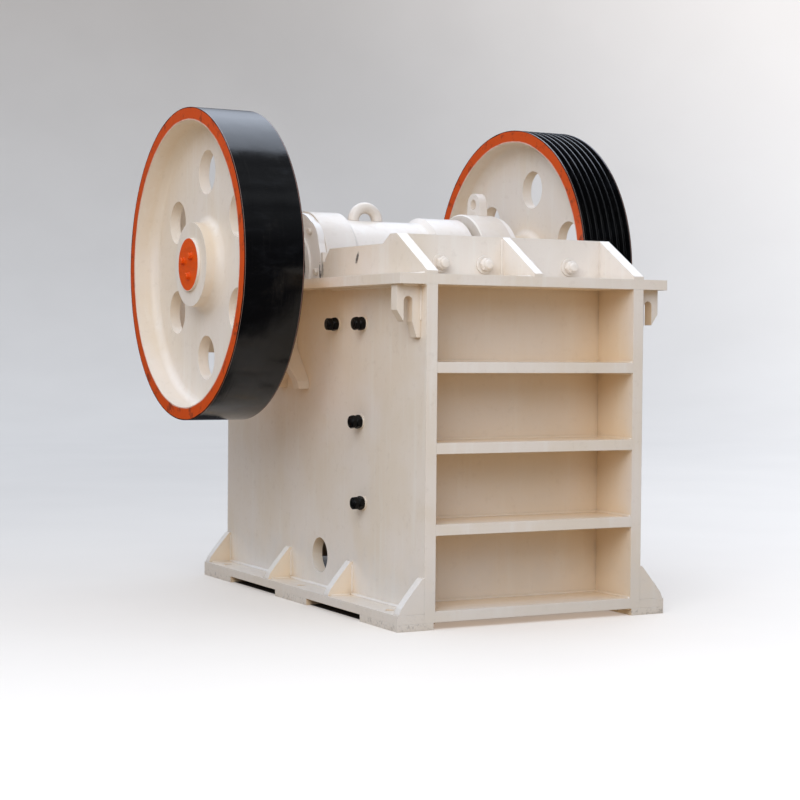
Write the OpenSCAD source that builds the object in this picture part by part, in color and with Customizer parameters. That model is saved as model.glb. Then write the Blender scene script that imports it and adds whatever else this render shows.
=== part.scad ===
// Jaw crusher, single toggle, welded frame, feed opening about 600 x 900 mm.
// Sizes are in millimetres. The modules measure X from the middle, Y from the front face
// of the frame and Z from the floor. placed() moves the origin to the centre of the anchor bolts.

/* [Frame] */
// Width over the two side plates
frame_w = 1100; // [1000:1300]
// Length of the side plates, front to rear
frame_l = 2150; // [2100:2300]
// Thickness of the side plates
side_t = 52; // [40:60]
// Thickness of the front and rear walls
wall_t = 50; // [40:60]
// Thickness of shelves, gussets and braces
rib_t = 46; // [30:50]
// How far the flanges stand out from the side plates
flange_out = 128; // [110:150]
// Thickness of the top flange
flange_t = 45; // [35:55]
// Height of the top face of the top flange
flange_z = 1500; // [1480:1520]
// Depth of the front bays
recess = 278; // [240:300]
// Height of the feed guard's top edge
guard_z = 1682; // [1660:1720]
// Height of the side plates' top edge beside the feed opening
plate_top_z = 1643; // [1610:1655]
// Height of the side plates' top at the rear edge
rear_top_z = 1200; // [1150:1300]
// Depth of the rear bays
rear_recess = 250; // [200:280]
// Height of the rising nose at the front of the side plates, above the flange
nose_h = 13; // [8:20]

/* [Front shelves] */
// Height of the top face of the lowest shelf
shelf_1_z = 77; // [76:110]
// Height of the top face of the second shelf
shelf_2_z = 443; // [400:480]
// Height of the top face of the third shelf
shelf_3_z = 787; // [740:830]
// Height of the top face of the top shelf
shelf_4_z = 1129; // [1080:1170]

/* [Base] */
// Thickness of the foot pads
pad_t = 30; // [20:31]
// Length of a foot pad
pad_l = 350; // [300:400]
// Width of a foot pad
pad_w = 173; // [150:180]
// Thickness of the base flange
base_t = 39; // [30:45]
// Radius of the anchor holes
anchor_r = 22; // [16:28]
// Distance of the anchor holes from the side plates
anchor_out = 70; // [60:85]
// Height of the base gussets above the base flange
gusset_h = 150; // [120:180]
// Distance of the second base gusset from the front
gusset_2_y = 682; // [600:750]
// Distance of the third base gusset from the front
gusset_3_y = 1347; // [1250:1420]
// Radius of the round hole low in each side plate
side_hole_r = 82.5; // [60:0.5:100]
// Distance of the round hole from the front
side_hole_y = 1025; // [960:1100]
// Height of the round hole's centre
side_hole_z = 213; // [200:260]

/* [Lifting hooks] */
// Distance of a hook's rear face from the front
hook_y = 105; // [90:140]
// Thickness of a hook
hook_t = 52; // [40:60]
// Width of a hook
hook_w = 115; // [105:120]
// Length of a hook's inner leg
hook_h = 224; // [200:260]
// Distance of a hook's slot from the side plate
slot_x = 40.5; // [34:0.5:44]
// Width of a hook's slot
slot_w = 41.5; // [36:0.5:46]

/* [Shaft] */
// Distance of the shaft axis behind the front face
shaft_y = 1314; // [1300:1330]
// Height of the shaft axis
shaft_z = 1568; // [1556:1580]
// Radius of the shaft in the moving jaw
shaft_r = 125; // [115:130]
// Radius of the shaft in the main bearings
journal_r = 110; // [100:112]
// Radius of the shaft in the wheels
wheel_seat_r = 95; // [85:98]
// Radial running clearance of the shaft
run_gap = 0.05; // [0.03:0.01:0.08]

/* [Bearings] */
// Radius of the left bearing housing
housing_r_left = 271; // [265:280]
// Radius of the right bearing housing
housing_r_right = 291; // [280:295]
// Step from a housing down to its end cover
cover_step = 8; // [5:12]
// Thickness of an end cover
cover_t = 33; // [28:40]
// Depth of an end cover's outer face behind the side plate's
cover_back = 5; // [3:8]
// Distance of a housing's inner face from the side plate's inner face
housing_over = 153; // [140:160]
// Half width of a housing's foot
foot_half = 242; // [235:246]
// Height of the shoulders of an end cover above the shaft axis
shoulder_h = 225; // [210:235]
// Radius of the shoulders
shoulder_r = 140; // [120:150]
// Half width of the notch in the side plates
notch_half = 326; // [315:335]
// Height of the inner seat that carries the housings
seat_z = 1300; // [1285:1310]
// Height of the wedges that hold the housings
wedge_h = 330; // [300:340]
// Thickness of the liners beside the wedges
liner_t = 38; // [30:42]
// How far the legs of the braces are splayed at their lower end
leg_reach = 154; // [140:180]
// Height of the lower end of the legs
leg_low_z = 990; // [950:1010]

/* [Wheels] */
// Outer radius of the flywheel and pulley
wheel_r = 727; // [700:740]
// Thickness of the wheel rims
rim_t = 60; // [50:70]
// Width of the flywheel rim
fly_w = 285; // [260:300]
// Gap between the flywheel rim and the side plate
fly_gap = 292; // [270:310]
// Gap between the pulley rim and the side plate
pulley_gap = 78; // [70:90]
// Thickness of the wheel webs
web_t = 52; // [40:60]
// Radius of the wheel hubs
hub_r = 197; // [180:210]
// Depth of the flywheel hub's face behind the rim
hub_back = 36; // [20:50]
// Length of the flywheel hub
fly_hub_l = 353; // [330:370]
// How far the pulley hub reaches inside the rim
pulley_hub_over = 50; // [40:60]
// Radius of the round holes in the flywheel's web
fly_hole_r = 103; // [90:108]
// Radius of the round holes in the pulley's web
pulley_hole_r = 94; // [80:100]
// Radius of the circle that carries the web holes
web_pcd_r = 434; // [425:440]
// Fillet between hub, web and rim
web_fillet = 40; // [20:50]
// Radius of the discs that close the shaft ends
end_disc_r = 124; // [115:130]
// Thickness of the discs that close the shaft ends
end_disc_t = 13; // [10:16]

/* [Belt grooves] */
// Number of belt grooves
grooves = 7; // [5:7]
// Distance between belt grooves
groove_pitch = 37; // [36:38]
// Distance from the rim's edge to the first groove's middle
groove_edge = 24.5; // [24:0.5:26]
// Width of a belt groove at the rim
groove_w = 32; // [30:33]
// Width of a belt groove at its bottom
groove_low_w = 20; // [18:22]
// Depth of a belt groove
groove_d = 27; // [20:30]

/* [Jaws] */
// Gape between the jaw plates at the top
gape = 545; // [520:560]
// Gap between the jaw plates at the bottom
outlet = 100; // [90:120]
// Height of the lower end of the jaw plates
jaw_low_z = 340; // [330:360]
// Height of the upper end of the moving jaw plate
jaw_top_z = 1420; // [1400:1430]
// Thickness of a jaw plate to its tooth tips
jaw_t = 90; // [80:95]
// Height of the teeth
tooth_h = 36; // [25:45]
// Number of teeth on the fixed jaw plate
teeth = 9; // [7:10]
// Thickness of the cheek plates
cheek_t = 48; // [40:50]
// Side clearance of the moving jaw plate
cheek_gap = 7; // [6:10]
// Height of the joint between the lower and upper cheek plates
cheek_joint_z = 860; // [800:900]

/* [Moving jaw] */
// Radius of the moving jaw's barrel
barrel_r = 238; // [230:245]
// Radius of the barrel's thick end
boss_r = 263; // [255:265]
// Distance of the thick end's start from the middle
boss_x = 90; // [70:110]
// Gap between the barrel and the left housing
barrel_gap_left = 8; // [7:12]
// Gap between the barrel and the right housing
barrel_gap_right = 35; // [20:40]
// Width of the moving jaw's body
pitman_w = 800; // [760:820]
// Thickness of the moving jaw's front web
pitman_t = 90; // [70:100]
// Thickness of the moving jaw's ribs
pitman_rib_t = 60; // [45:65]
// Length of the moving jaw below its plate
toe_l = 70; // [60:80]

/* [Toggle and tension rod] */
// Height of the toggle's rear end
toggle_rear_z = 620; // [600:660]
// Thickness of the toggle plate
toggle_t = 44; // [36:50]
// Radius of the toggle plate's ends
toggle_end_r = 40; // [36:46]
// Length of the block behind the toggle plate
block_l = 150; // [130:170]
// Height of the block behind the toggle plate
block_h = 200; // [180:220]
// Thickness of the shims behind the block
shim_t = 30; // [20:40]
// Radius of the tension rod
rod_r = 28; // [24:32]
// Radius of the tension rod's pin
pin_r = 20; // [17:24]
// Length of the tension spring
spring_l = 225; // [200:240]
// Radius of the spring's coils, to the middle of the wire
coil_r = 50; // [46:56]
// Radius of the spring's wire
wire_r = 10; // [8:11]
// Number of turns of the spring
turns = 7; // [6:9]

/* [Hidden] */
$fn = 96;
cream = [0.93, 0.89, 0.82];
orange = [0.8, 0.35, 0.12];
black = [0.08, 0.08, 0.09];
steel = [0.55, 0.55, 0.55];
manganese = [0.4, 0.38, 0.36];
// Gap between curved faces that rest on each other, and reach of a cut past a face
curved_gap = 0.3;
cut = 1;

// Frame
x_out = frame_w / 2;
x_in = x_out - side_t;
x_flange = x_out + flange_out;
origin_y = frame_l / 2;
anchor_ys = [pad_l / 2, frame_l / 2, frame_l - pad_l / 2];
wall_back = recess + wall_t;
front_bar = 40;
front_strip = 200;
rear_wall_y = frame_l - rear_recess - wall_t;
notch_front_y = shaft_y - notch_half;
notch_rear_y = shaft_y + notch_half;
notch_lead = 45;
rear_slope_run = 180;
rear_slope_y = notch_rear_y + rear_slope_run;
// Room around the shaft and around the pulley's hub
shaft_room = 20;
hub_room = 12;

// Wheels, along X
fly_in = x_out + fly_gap;
fly_out = fly_in + fly_w;
fly_hub_out = fly_out - hub_back;
pulley_in = x_out + pulley_gap;
pulley_w = groove_pitch * (grooves - 1) + 2 * groove_edge;
pulley_out = pulley_in + pulley_w;
pulley_hub_out = pulley_out + 8;
// The right flange is narrower behind its front corner, to pass inside the pulley
flange_right = pulley_gap - 14;

// Bearings, along X
housing_in = x_in - housing_over;
cover_out = x_out - cover_back;
cover_in = cover_out - cover_t;
journal_end = x_out + 10;

// Jaws. The moving jaw's face runs from (face_low_y, jaw_low_z) to (face_top_y, jaw_top_z)
fixed_face_y = wall_back + jaw_t;
face_low_y = fixed_face_y + outlet;
face_top_y = fixed_face_y + gape;
lean = atan2(face_top_y - face_low_y, jaw_top_z - jaw_low_z);
face_l = (jaw_top_z - jaw_low_z) / cos(lean);
cheek_in = x_in - cheek_t;
plate_half = cheek_in - cheek_gap;
tooth_pitch = 2 * plate_half / teeth;
barrel_left = -housing_in + barrel_gap_left;
barrel_right = housing_in - barrel_gap_right;
boss_taper = 20;

// Places in the moving jaw's own axes: v from the tooth tips to the rear, u up along the face
function jaw_point(v, u) = [face_low_y + v * cos(lean) + u * sin(lean),
    jaw_low_z - v * sin(lean) + u * cos(lean)];
shaft_v = (shaft_y - face_low_y) * cos(lean) - (shaft_z - jaw_low_z) * sin(lean);
shaft_u = (shaft_y - face_low_y) * sin(lean) + (shaft_z - jaw_low_z) * cos(lean);
web_v = jaw_t + pitman_t;
seat_v = web_v + 200;
seat_u = 170;
rod_v = web_v + 140;
rod_u = -60;
lug_gap = 70;
lug_t = 30;
lug_r = 50;
toggle_front = jaw_point(seat_v, seat_u);
toggle_rear = [rear_wall_y - shim_t - block_l, toggle_rear_z];
rod_front = jaw_point(rod_v, rod_u);
beam_half = 60;
spring_y = rear_wall_y + wall_t;
washer_t = 16;
nut_t = 44;

// Moves the origin from the front face to the centre of the anchor bolts
module placed() {
    translate([0, -origin_y, 0]) children();
}

// Mirrors what is drawn on the +X side to the side asked for
module on_side(side) {
    mirror([side < 0 ? 1 : 0, 0, 0]) children();
}

// Extrudes a profile drawn in Y and Z from x0 to x1
module across(x0, x1) {
    translate([x0, 0, 0]) rotate([90, 0, 90]) linear_extrude(height = x1 - x0) children();
}

// Extrudes a profile drawn in X and Z from y0 to y1
module along(y0, y1) {
    translate([0, y1, 0]) rotate([90, 0, 0]) linear_extrude(height = y1 - y0) children();
}

// Turns a profile of radius and X about the shaft axis
module about_shaft() {
    translate([0, shaft_y, shaft_z]) rotate([0, 90, 0]) rotate_extrude() children();
}

// Cylinder along X about the shaft axis
module shaft_bar(r, x0, x1) {
    translate([x0, shaft_y, shaft_z]) rotate([0, 90, 0]) cylinder(r = r, h = x1 - x0);
}

// Cylinder along X about a place in Y and Z
module cross_bar(place, r, x0, x1) {
    translate([x0, place[0], place[1]]) rotate([0, 90, 0]) cylinder(r = r, h = x1 - x0);
}

// Moves into the moving jaw's own axes: Y from its toothed face to the rear, Z up along the face
module jaw_axes() {
    translate([0, face_low_y, jaw_low_z]) rotate([-lean, 0, 0]) children();
}

module side_plate(side) {
    ear_run = 62;
    ear_fall = 128;
    rear_land = 60;
    rear_run = 70;
    color(cream) placed() on_side(side) across(x_in, x_out) difference() {
        polygon([[0, pad_t], [frame_l, pad_t], [frame_l, rear_top_z], [rear_slope_y, flange_z],
            [notch_rear_y + rear_land + rear_run, flange_z],
            [notch_rear_y + rear_land, plate_top_z], [recess + ear_fall, plate_top_z],
            [recess + ear_run, guard_z], [recess, guard_z], [0, flange_z + nose_h]]);
        // Notch for the housing, with a lead at its two upper corners
        polygon([[notch_front_y, flange_z], [notch_rear_y, flange_z],
            [notch_rear_y, plate_top_z - notch_lead], [notch_rear_y + notch_lead, plate_top_z],
            [notch_rear_y + notch_lead, guard_z], [notch_front_y - notch_lead, guard_z],
            [notch_front_y - notch_lead, plate_top_z],
            [notch_front_y, plate_top_z - notch_lead]]);
        translate([-cut, flange_z - flange_t]) square([front_bar + cut, flange_t]);
        translate([side_hole_y, side_hole_z]) circle(side_hole_r);
        translate([shaft_y, shaft_z]) circle(journal_r + shaft_room);
    }
}

module front_wall() {
    ledge = 60;
    color(cream) placed() {
        translate([-x_in, recess, pad_t]) cube([2 * x_in, wall_t, guard_z - pad_t]);
        // Ledge under the fixed jaw plate
        translate([-x_in, wall_back, jaw_low_z - ledge])
            cube([2 * x_in, jaw_t - tooth_h, ledge]);
    }
}

module front_shelf(top_z) {
    color(cream) placed() translate([-x_in, 0, top_z - rib_t]) cube([2 * x_in, recess, rib_t]);
}

module top_flange_front() {
    color(cream) placed() translate([0, 0, flange_z - flange_t]) {
        translate([-x_flange, 0, 0]) cube([2 * x_flange, front_bar, flange_t]);
        translate([-x_in, 0, 0]) cube([2 * x_in, recess, flange_t]);
        for (side = [-1, 1]) on_side(side)
            translate([x_out, 0, 0]) cube([flange_out, front_strip, flange_t]);
    }
}

// Room for the flywheel's shaft on the left and the pulley's hub on the right
function shaft_pass_r(side) = side < 0 ? journal_r + shaft_room : hub_r + hub_room;

module top_flange(side) {
    out = side < 0 ? flange_out : flange_right;
    low_z = flange_z - flange_t;
    color(cream) placed() on_side(side) difference() {
        across(x_out, x_out + out) polygon([[front_strip, low_z], [rear_slope_y, low_z],
            [frame_l, rear_top_z - flange_t], [frame_l, rear_top_z], [rear_slope_y, flange_z],
            [front_strip, flange_z]]);
        shaft_bar(shaft_pass_r(side), x_out - cut, x_out + out + cut);
    }
}

module base_flange(side) {
    color(cream) placed() on_side(side) difference() {
        translate([x_out, 0, pad_t]) cube([flange_out, frame_l, base_t]);
        for (y = anchor_ys)
            translate([x_out + anchor_out, y, 0]) cylinder(r = anchor_r, h = pad_t + base_t + cut);
    }
}

module foot_pads(side) {
    color(cream) placed() on_side(side) difference() {
        for (y = anchor_ys)
            translate([x_flange - pad_w, y - pad_l / 2, 0]) cube([pad_w, pad_l, pad_t]);
        for (y = anchor_ys)
            translate([x_out + anchor_out, y, -cut]) cylinder(r = anchor_r, h = pad_t + 2 * cut);
    }
}

// Rounded outline of a base gusset
module gusset_outline() {
    toe_x = flange_out - 7;
    toe_h = 5;
    top_land = 10;
    polygon([[0, 0], [toe_x, 0], [toe_x, toe_h], [toe_x * 0.91, gusset_h * 0.19],
        [toe_x * 0.67, gusset_h * 0.44], [top_land, gusset_h], [0, gusset_h]]);
}

module base_gussets(side) {
    ys = [0, gusset_2_y, gusset_3_y, frame_l - rib_t];
    color(cream) placed() on_side(side) for (y = ys)
        translate([x_out, 0, pad_t + base_t]) along(y, y + rib_t) gusset_outline();
}

module guard_gusset() {
    half = 20;
    color(cream) placed() across(-half, half) polygon([[0, flange_z], [recess, flange_z],
        [recess, guard_z], [0, flange_z + nose_h]]);
}

module lifting_hook(side) {
    outer_h = 109;
    tip_h = 157;
    tip_w = 20;
    arch_r = slot_w / 2;
    arch_z = 50 + arch_r;
    color(cream) placed() on_side(side)
        translate([x_out, 0, flange_z - flange_t]) along(hook_y - hook_t, hook_y) difference() {
            polygon([[0, 0], [hook_w, 0], [hook_w, -outer_h], [slot_x + slot_w, -tip_h],
                [slot_x, -tip_h], [tip_w, -hook_h], [0, -hook_h]]);
            translate([slot_x, -tip_h - cut]) square([slot_w, tip_h - arch_z + cut]);
            translate([slot_x + arch_r, -arch_z]) circle(arch_r);
        }
}

// Brace under the shaft outside a side plate: two splayed legs that join in an upright rib
module brace_outline() {
    land = 37;
    leg_w = 60;
    join_z = leg_low_z + land + 1.19 * (leg_reach - rib_t / 2);
    crotch_z = leg_low_z + land + 1.19 * (leg_reach - leg_w);
    half_rib = rib_t / 2;
    top_z = flange_z - flange_t;
    polygon([[-leg_reach, leg_low_z], [-leg_reach, leg_low_z + land], [-half_rib, join_z],
        [-half_rib, top_z], [half_rib, top_z], [half_rib, join_z], [leg_reach, leg_low_z + land],
        [leg_reach, leg_low_z], [leg_reach - leg_w, leg_low_z],
        [leg_reach - leg_w, leg_low_z + land], [0, crotch_z],
        [leg_w - leg_reach, leg_low_z + land], [leg_w - leg_reach, leg_low_z]]);
}

module bearing_seat(side) {
    shelf_z = seat_z - rib_t;
    half = foot_half - 22;
    leg_foot = 52;
    leg_full_z = 1275;
    bracket_h = 130;
    drum_r = (side < 0 ? housing_r_left : housing_r_right) + 4;
    seat_rise = flange_z - seat_z;
    liner_in = notch_half - liner_t;
    wedge_out = liner_in - 3;
    wedge_in = foot_half + 1;
    color(cream) placed() on_side(side) {
        difference() {
            intersection() {
                across(x_out, x_flange) translate([shaft_y, 0]) brace_outline();
                along(shaft_y - leg_reach - cut, shaft_y + leg_reach + cut)
                    polygon([[x_out, leg_low_z], [x_out + leg_foot, leg_low_z],
                        [x_flange, leg_full_z], [x_flange, flange_z], [x_out, flange_z]]);
            }
            shaft_bar(shaft_pass_r(side), x_out - cut, x_flange + cut);
        }
        // Shelf and brackets on the inside
        translate([housing_in, shaft_y - half, shelf_z])
            cube([x_in - housing_in, 2 * half, rib_t]);
        for (y = [shaft_y - half, shaft_y + half - rib_t])
            translate([x_in, 0, shelf_z]) along(y, y + rib_t)
                polygon([[0, 0], [-housing_over / 2, 0], [-housing_over / 2, -20],
                    [0, -bracket_h]]);
        // Liner and wedge in front of the cover and behind it, cut clear of the drum
        difference() {
            for (s = [-1, 1]) {
                across(x_in, cover_out) translate([shaft_y, seat_z])
                    polygon([[s * notch_half, seat_rise], [s * liner_in, seat_rise],
                        [s * liner_in, wedge_h - notch_lead], [s * notch_half, wedge_h - notch_lead]]);
                across(x_in, cover_out) translate([shaft_y, seat_z])
                    polygon([[s * wedge_out, seat_rise], [s * wedge_in, seat_rise],
                        [s * wedge_in, wedge_h], [s * wedge_out, wedge_h]]);
            }
            shaft_bar(drum_r, x_in - cut, cover_out + cut);
        }
    }
}

module rear_wall() {
    color(cream) placed() translate([-x_in, rear_wall_y, jaw_low_z])
        cube([2 * x_in, wall_t, rear_top_z - jaw_low_z]);
}

module rear_shelves() {
    y = rear_wall_y + wall_t;
    top = rear_top_z - flange_t;
    step = (top - jaw_low_z - rib_t) / 3;
    color(cream) placed() for (k = [0:3])
        translate([-x_in, y, jaw_low_z + k * step]) cube([2 * x_in, frame_l - y, rib_t]);
}

// Beam for the tension rod, with a rounded lower edge and a seat ring for the spring
module rear_beam() {
    z = rod_front[1];
    bracket = 2 * beam_half;
    color(cream) placed() difference() {
        union() {
            translate([-x_in, rear_wall_y, z - beam_half]) cube([2 * x_in, wall_t, 2 * beam_half]);
            for (side = [-1, 1]) on_side(side) translate([x_in, 0, z])
                linear_extrude(height = rib_t, center = true) polygon([[0, spring_y],
                    [-bracket, spring_y], [0, spring_y + bracket]]);
        }
        translate([0, rear_wall_y - cut, z]) rotate([-90, 0, 0])
            cylinder(r = rod_r + 6, h = wall_t + 2 * cut);
    }
}

module toggle_block() {
    half = x_in - 2;
    color(cream) placed() difference() {
        union() {
            translate([-half, toggle_rear[0], toggle_rear_z - block_h / 2])
                cube([2 * half, block_l, block_h]);
            // Shims between the block and the rear wall
            translate([-half + 40, toggle_rear[0] + block_l, toggle_rear_z - block_h / 2 + 15])
                cube([2 * half - 80, shim_t, block_h - 30]);
        }
        cross_bar(toggle_rear, toggle_end_r + curved_gap, -x_in, x_in);
    }
}

module toggle_plate() {
    reach = toggle_rear - toggle_front;
    half = pitman_w / 2 - 30;
    color(cream) placed() translate([0, toggle_front[0], toggle_front[1]])
        rotate([atan2(reach[1], reach[0]), 0, 0]) difference() {
            union() {
                translate([-half, 0, -toggle_t / 2]) cube([2 * half, norm(reach), toggle_t]);
                for (y = [0, norm(reach)]) cross_bar([y, 0], toggle_end_r, -half, half);
            }
            // Two lightening holes
            for (s = [-1, 1]) translate([s * half / 2, norm(reach) / 2, -toggle_t])
                cylinder(r = norm(reach) / 6, h = 2 * toggle_t);
        }
}

module cheek_plate(side) {
    front = fixed_face_y - tooth_h;
    top_z = jaw_top_z + 40;
    rear_low = face_low_y + 110;
    rise = tan(lean);
    joint_y = rear_low + rise * (cheek_joint_z - jaw_low_z);
    top_y = notch_front_y - 14;
    gap = 4;
    color(manganese) placed() on_side(side) across(cheek_in, x_in) {
        polygon([[front, jaw_low_z], [rear_low, jaw_low_z], [joint_y, cheek_joint_z],
            [front, cheek_joint_z]]);
        polygon([[front, cheek_joint_z + gap], [joint_y, cheek_joint_z + gap],
            [min(top_y, joint_y + rise * (top_z - cheek_joint_z)), top_z], [front, top_z]]);
    }
}

// Toothed plate: back on Y = jaw_t, teeth towards -Y, from z = 0 up. The teeth are ridges
// with flat tops, and the plate is flat on both sides of them
module toothed_plate(half_w, count, height) {
    first = -count * tooth_pitch / 2;
    ridge = [[0.1, tooth_h], [0.36, 0], [0.64, 0], [0.9, tooth_h]];
    linear_extrude(height = height) polygon(concat([[-half_w, jaw_t], [-half_w, tooth_h]],
        [for (k = [0:count - 1], p = ridge) [first + (k + p[0]) * tooth_pitch, p[1]]],
        [[half_w, tooth_h], [half_w, jaw_t]]));
}

module fixed_jaw_plate() {
    over = 60;
    color(manganese) placed() translate([0, fixed_face_y, jaw_low_z])
        mirror([0, 1, 0]) toothed_plate(x_in - 2, teeth, jaw_top_z + over - jaw_low_z);
}

// Its teeth face the gaps of the fixed plate
module moving_jaw_plate() {
    color(manganese) placed() jaw_axes() toothed_plate(plate_half, teeth - 1, face_l);
}

module moving_jaw() {
    half = pitman_w / 2;
    neck = housing_in - 34;
    rib = pitman_rib_t;
    shoulder_u = 930;
    // Ribs, in the jaw's own axes: depth behind the shaft, waist and cross rib
    rib_rear = 150;
    rib_drop = 100;
    waist_u = 700;
    side_waist_u = 600;
    cross_u = 590;
    cross_rise = 50;
    cross_back = 90;
    barrel_front_u = shaft_u - barrel_r / 2;
    color(cream) placed() difference() {
        union() {
            // Barrel with its thick end
            about_shaft() polygon([[0, barrel_left], [barrel_r, barrel_left], [barrel_r, boss_x],
                [boss_r, boss_x + boss_taper], [boss_r, barrel_right], [0, barrel_right]]);
            jaw_axes() {
                // Front web, wide below the housings and narrow between them
                translate([-half, jaw_t, -toe_l]) cube([2 * half, pitman_t, shoulder_u + toe_l]);
                translate([-neck, jaw_t, shoulder_u - cut])
                    cube([2 * neck, pitman_t, barrel_front_u - shoulder_u]);
                // Toe under the jaw plate and wedge bar above it
                across(-half, half) polygon([[16, -toe_l + 18], [34, -toe_l], [web_v - cut, -toe_l],
                    [web_v - cut, 0], [16, 0]]);
                across(-neck, neck) polygon([[26, face_l + 6], [jaw_t + cut, face_l + 1],
                    [jaw_t + cut, face_l + 78], [50, face_l + 72]]);
                // Seat for the toggle plate
                across(-half, half) polygon([[web_v - cut, seat_u - 150], [seat_v, seat_u - 110],
                    [seat_v, seat_u + 90], [web_v - cut, seat_u + 170]]);
                // Ribs up to the barrel
                for (x = [-neck, -rib / 2, neck - rib]) across(x, x + rib)
                    polygon([[web_v - cut, -toe_l], [web_v - cut, shaft_u - barrel_r],
                        [shaft_v, shaft_u], [shaft_v + rib_rear, shaft_u - rib_drop],
                        [seat_v - rib, waist_u],
                        [seat_v - 10, seat_u], [web_v + 60, -toe_l]]);
                // Side ribs, low enough to pass under the bearing seats
                for (x = [-half, half - rib]) across(x, x + rib)
                    polygon([[web_v - cut, -toe_l], [web_v - cut, shoulder_u],
                        [web_v + 30, shoulder_u], [seat_v - rib, side_waist_u], [seat_v - 10, seat_u],
                        [web_v + 60, -toe_l]]);
                // Cross rib between the ribs
                across(-half, half) polygon([[web_v - cut, cross_u + cross_rise],
                    [seat_v - cross_back, cross_u], [seat_v - cross_back, cross_u + rib],
                    [web_v - cut, cross_u + cross_rise + rib]]);
                // Lugs for the tension rod
                for (x = [-lug_gap / 2 - lug_t, lug_gap / 2]) across(x, x + lug_t) {
                    translate([rod_v, rod_u]) circle(lug_r);
                    polygon([[web_v - cut, -toe_l], [web_v - cut, seat_u - 120],
                        [seat_v - 20, seat_u - 120], [rod_v + lug_r, rod_u],
                        [rod_v, rod_u - lug_r]]);
                }
            }
        }
        shaft_bar(shaft_r + run_gap, barrel_left - cut, barrel_right + cut);
        cross_bar(toggle_front, toggle_end_r + curved_gap, -half - cut, half + cut);
        cross_bar(rod_front, pin_r + curved_gap, -lug_gap, lug_gap);
    }
}

module bearing_housing(side) {
    r = side < 0 ? housing_r_left : housing_r_right;
    relief = 6;
    color(cream) placed() on_side(side) difference() {
        union() {
            // Drum with a chamfered inner edge, and its foot
            about_shaft() polygon([[0, housing_in], [r - relief, housing_in],
                [r, housing_in + relief], [r, cover_in], [0, cover_in]]);
            translate([housing_in, shaft_y - foot_half, seat_z])
                cube([cover_in - housing_in, 2 * foot_half, shaft_z - seat_z]);
        }
        // The inner seat and the side plate's notch cut the drum level
        translate([housing_in - cut, shaft_y - r, seat_z - r])
            cube([cover_in - housing_in + 2 * cut, 2 * r, r]);
        translate([x_in, shaft_y - r, flange_z - r]) cube([cover_in - x_in + cut, 2 * r, r]);
        shaft_bar(journal_r + run_gap, housing_in - cut, cover_in + cut);
    }
}

// End cover: a disc with rounded shoulders, cut level by the side plate's notch
module bearing_cover(side) {
    r = (side < 0 ? housing_r_left : housing_r_right) - cover_step;
    seal_r = journal_r + 50;
    seal_t = 10;
    color(cream) placed() on_side(side) difference() {
        union() {
            shaft_bar(r, cover_in, cover_out);
            across(cover_in, cover_out) translate([shaft_y, shaft_z])
                for (s = [-1, 1]) translate([s * (foot_half - shoulder_r), shoulder_h - shoulder_r])
                    circle(shoulder_r);
            // Raised seal ring
            shaft_bar(seal_r, cover_in, cover_out + seal_t);
        }
        translate([cover_in - cut, shaft_y - r - cut, flange_z - r])
            cube([cover_t + seal_t + 2 * cut, 2 * (r + cut), r]);
        shaft_bar(journal_r + 4, cover_in - cut, cover_out + seal_t + cut);
    }
}

// Round ring standing along the barrel
module lifting_eye_left() {
    ring_r = 64;
    bar_r = 27.5;
    x = -181;
    color(cream) placed() difference() {
        translate([x, shaft_y, shaft_z + barrel_r]) rotate([90, 0, 0])
            rotate_extrude() translate([ring_r, 0]) circle(bar_r);
        shaft_bar(barrel_r + curved_gap, x - 2 * ring_r, x + 2 * ring_r);
    }
}

// Flat eye standing across the right housing
module lifting_eye_right() {
    r = 57;
    hole_r = 27;
    t = 46;
    x = housing_in + 85;
    z = shaft_z + housing_r_right + 52;
    color(cream) placed() difference() {
        union() {
            cross_bar([shaft_y, z], r, x, x + t);
            across(x, x + t) polygon([[shaft_y - r - 6, shaft_z + housing_r_right - 20],
                [shaft_y + r + 6, shaft_z + housing_r_right - 20], [shaft_y + r, z],
                [shaft_y - r, z]]);
        }
        cross_bar([shaft_y, z], hole_r, x - cut, x + t + cut);
        shaft_bar(housing_r_right + curved_gap, x - cut, x + t + cut);
    }
}

module tension_rod() {
    nut_y = spring_y + spring_l;
    start_y = rod_front[0];
    eye_half = lug_gap / 2 - 3;
    color(steel) placed() {
        cross_bar(rod_front, lug_r, -eye_half, eye_half);
        // Pin with a head at each end
        cross_bar(rod_front, pin_r, -lug_gap / 2 - lug_t - 14, lug_gap / 2 + lug_t + 14);
        for (s = [-1, 1]) on_side(s)
            cross_bar(rod_front, pin_r + 8, lug_gap / 2 + lug_t, lug_gap / 2 + lug_t + 12);
        translate([0, start_y, rod_front[1]]) rotate([-90, 0, 0]) {
            cylinder(r = rod_r, h = nut_y + washer_t + 2 * nut_t + 30 - start_y);
            // Spring washer, nut and lock nut
            translate([0, 0, nut_y - start_y]) cylinder(r = coil_r + wire_r + 6, h = washer_t);
            translate([0, 0, nut_y - start_y + washer_t])
                cylinder(r = rod_r * 1.7, h = nut_t, $fn = 6);
            translate([0, 0, nut_y - start_y + washer_t + nut_t + 2]) rotate([0, 0, 17])
                cylinder(r = rod_r * 1.7, h = nut_t * 0.7, $fn = 6);
        }
    }
}

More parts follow.
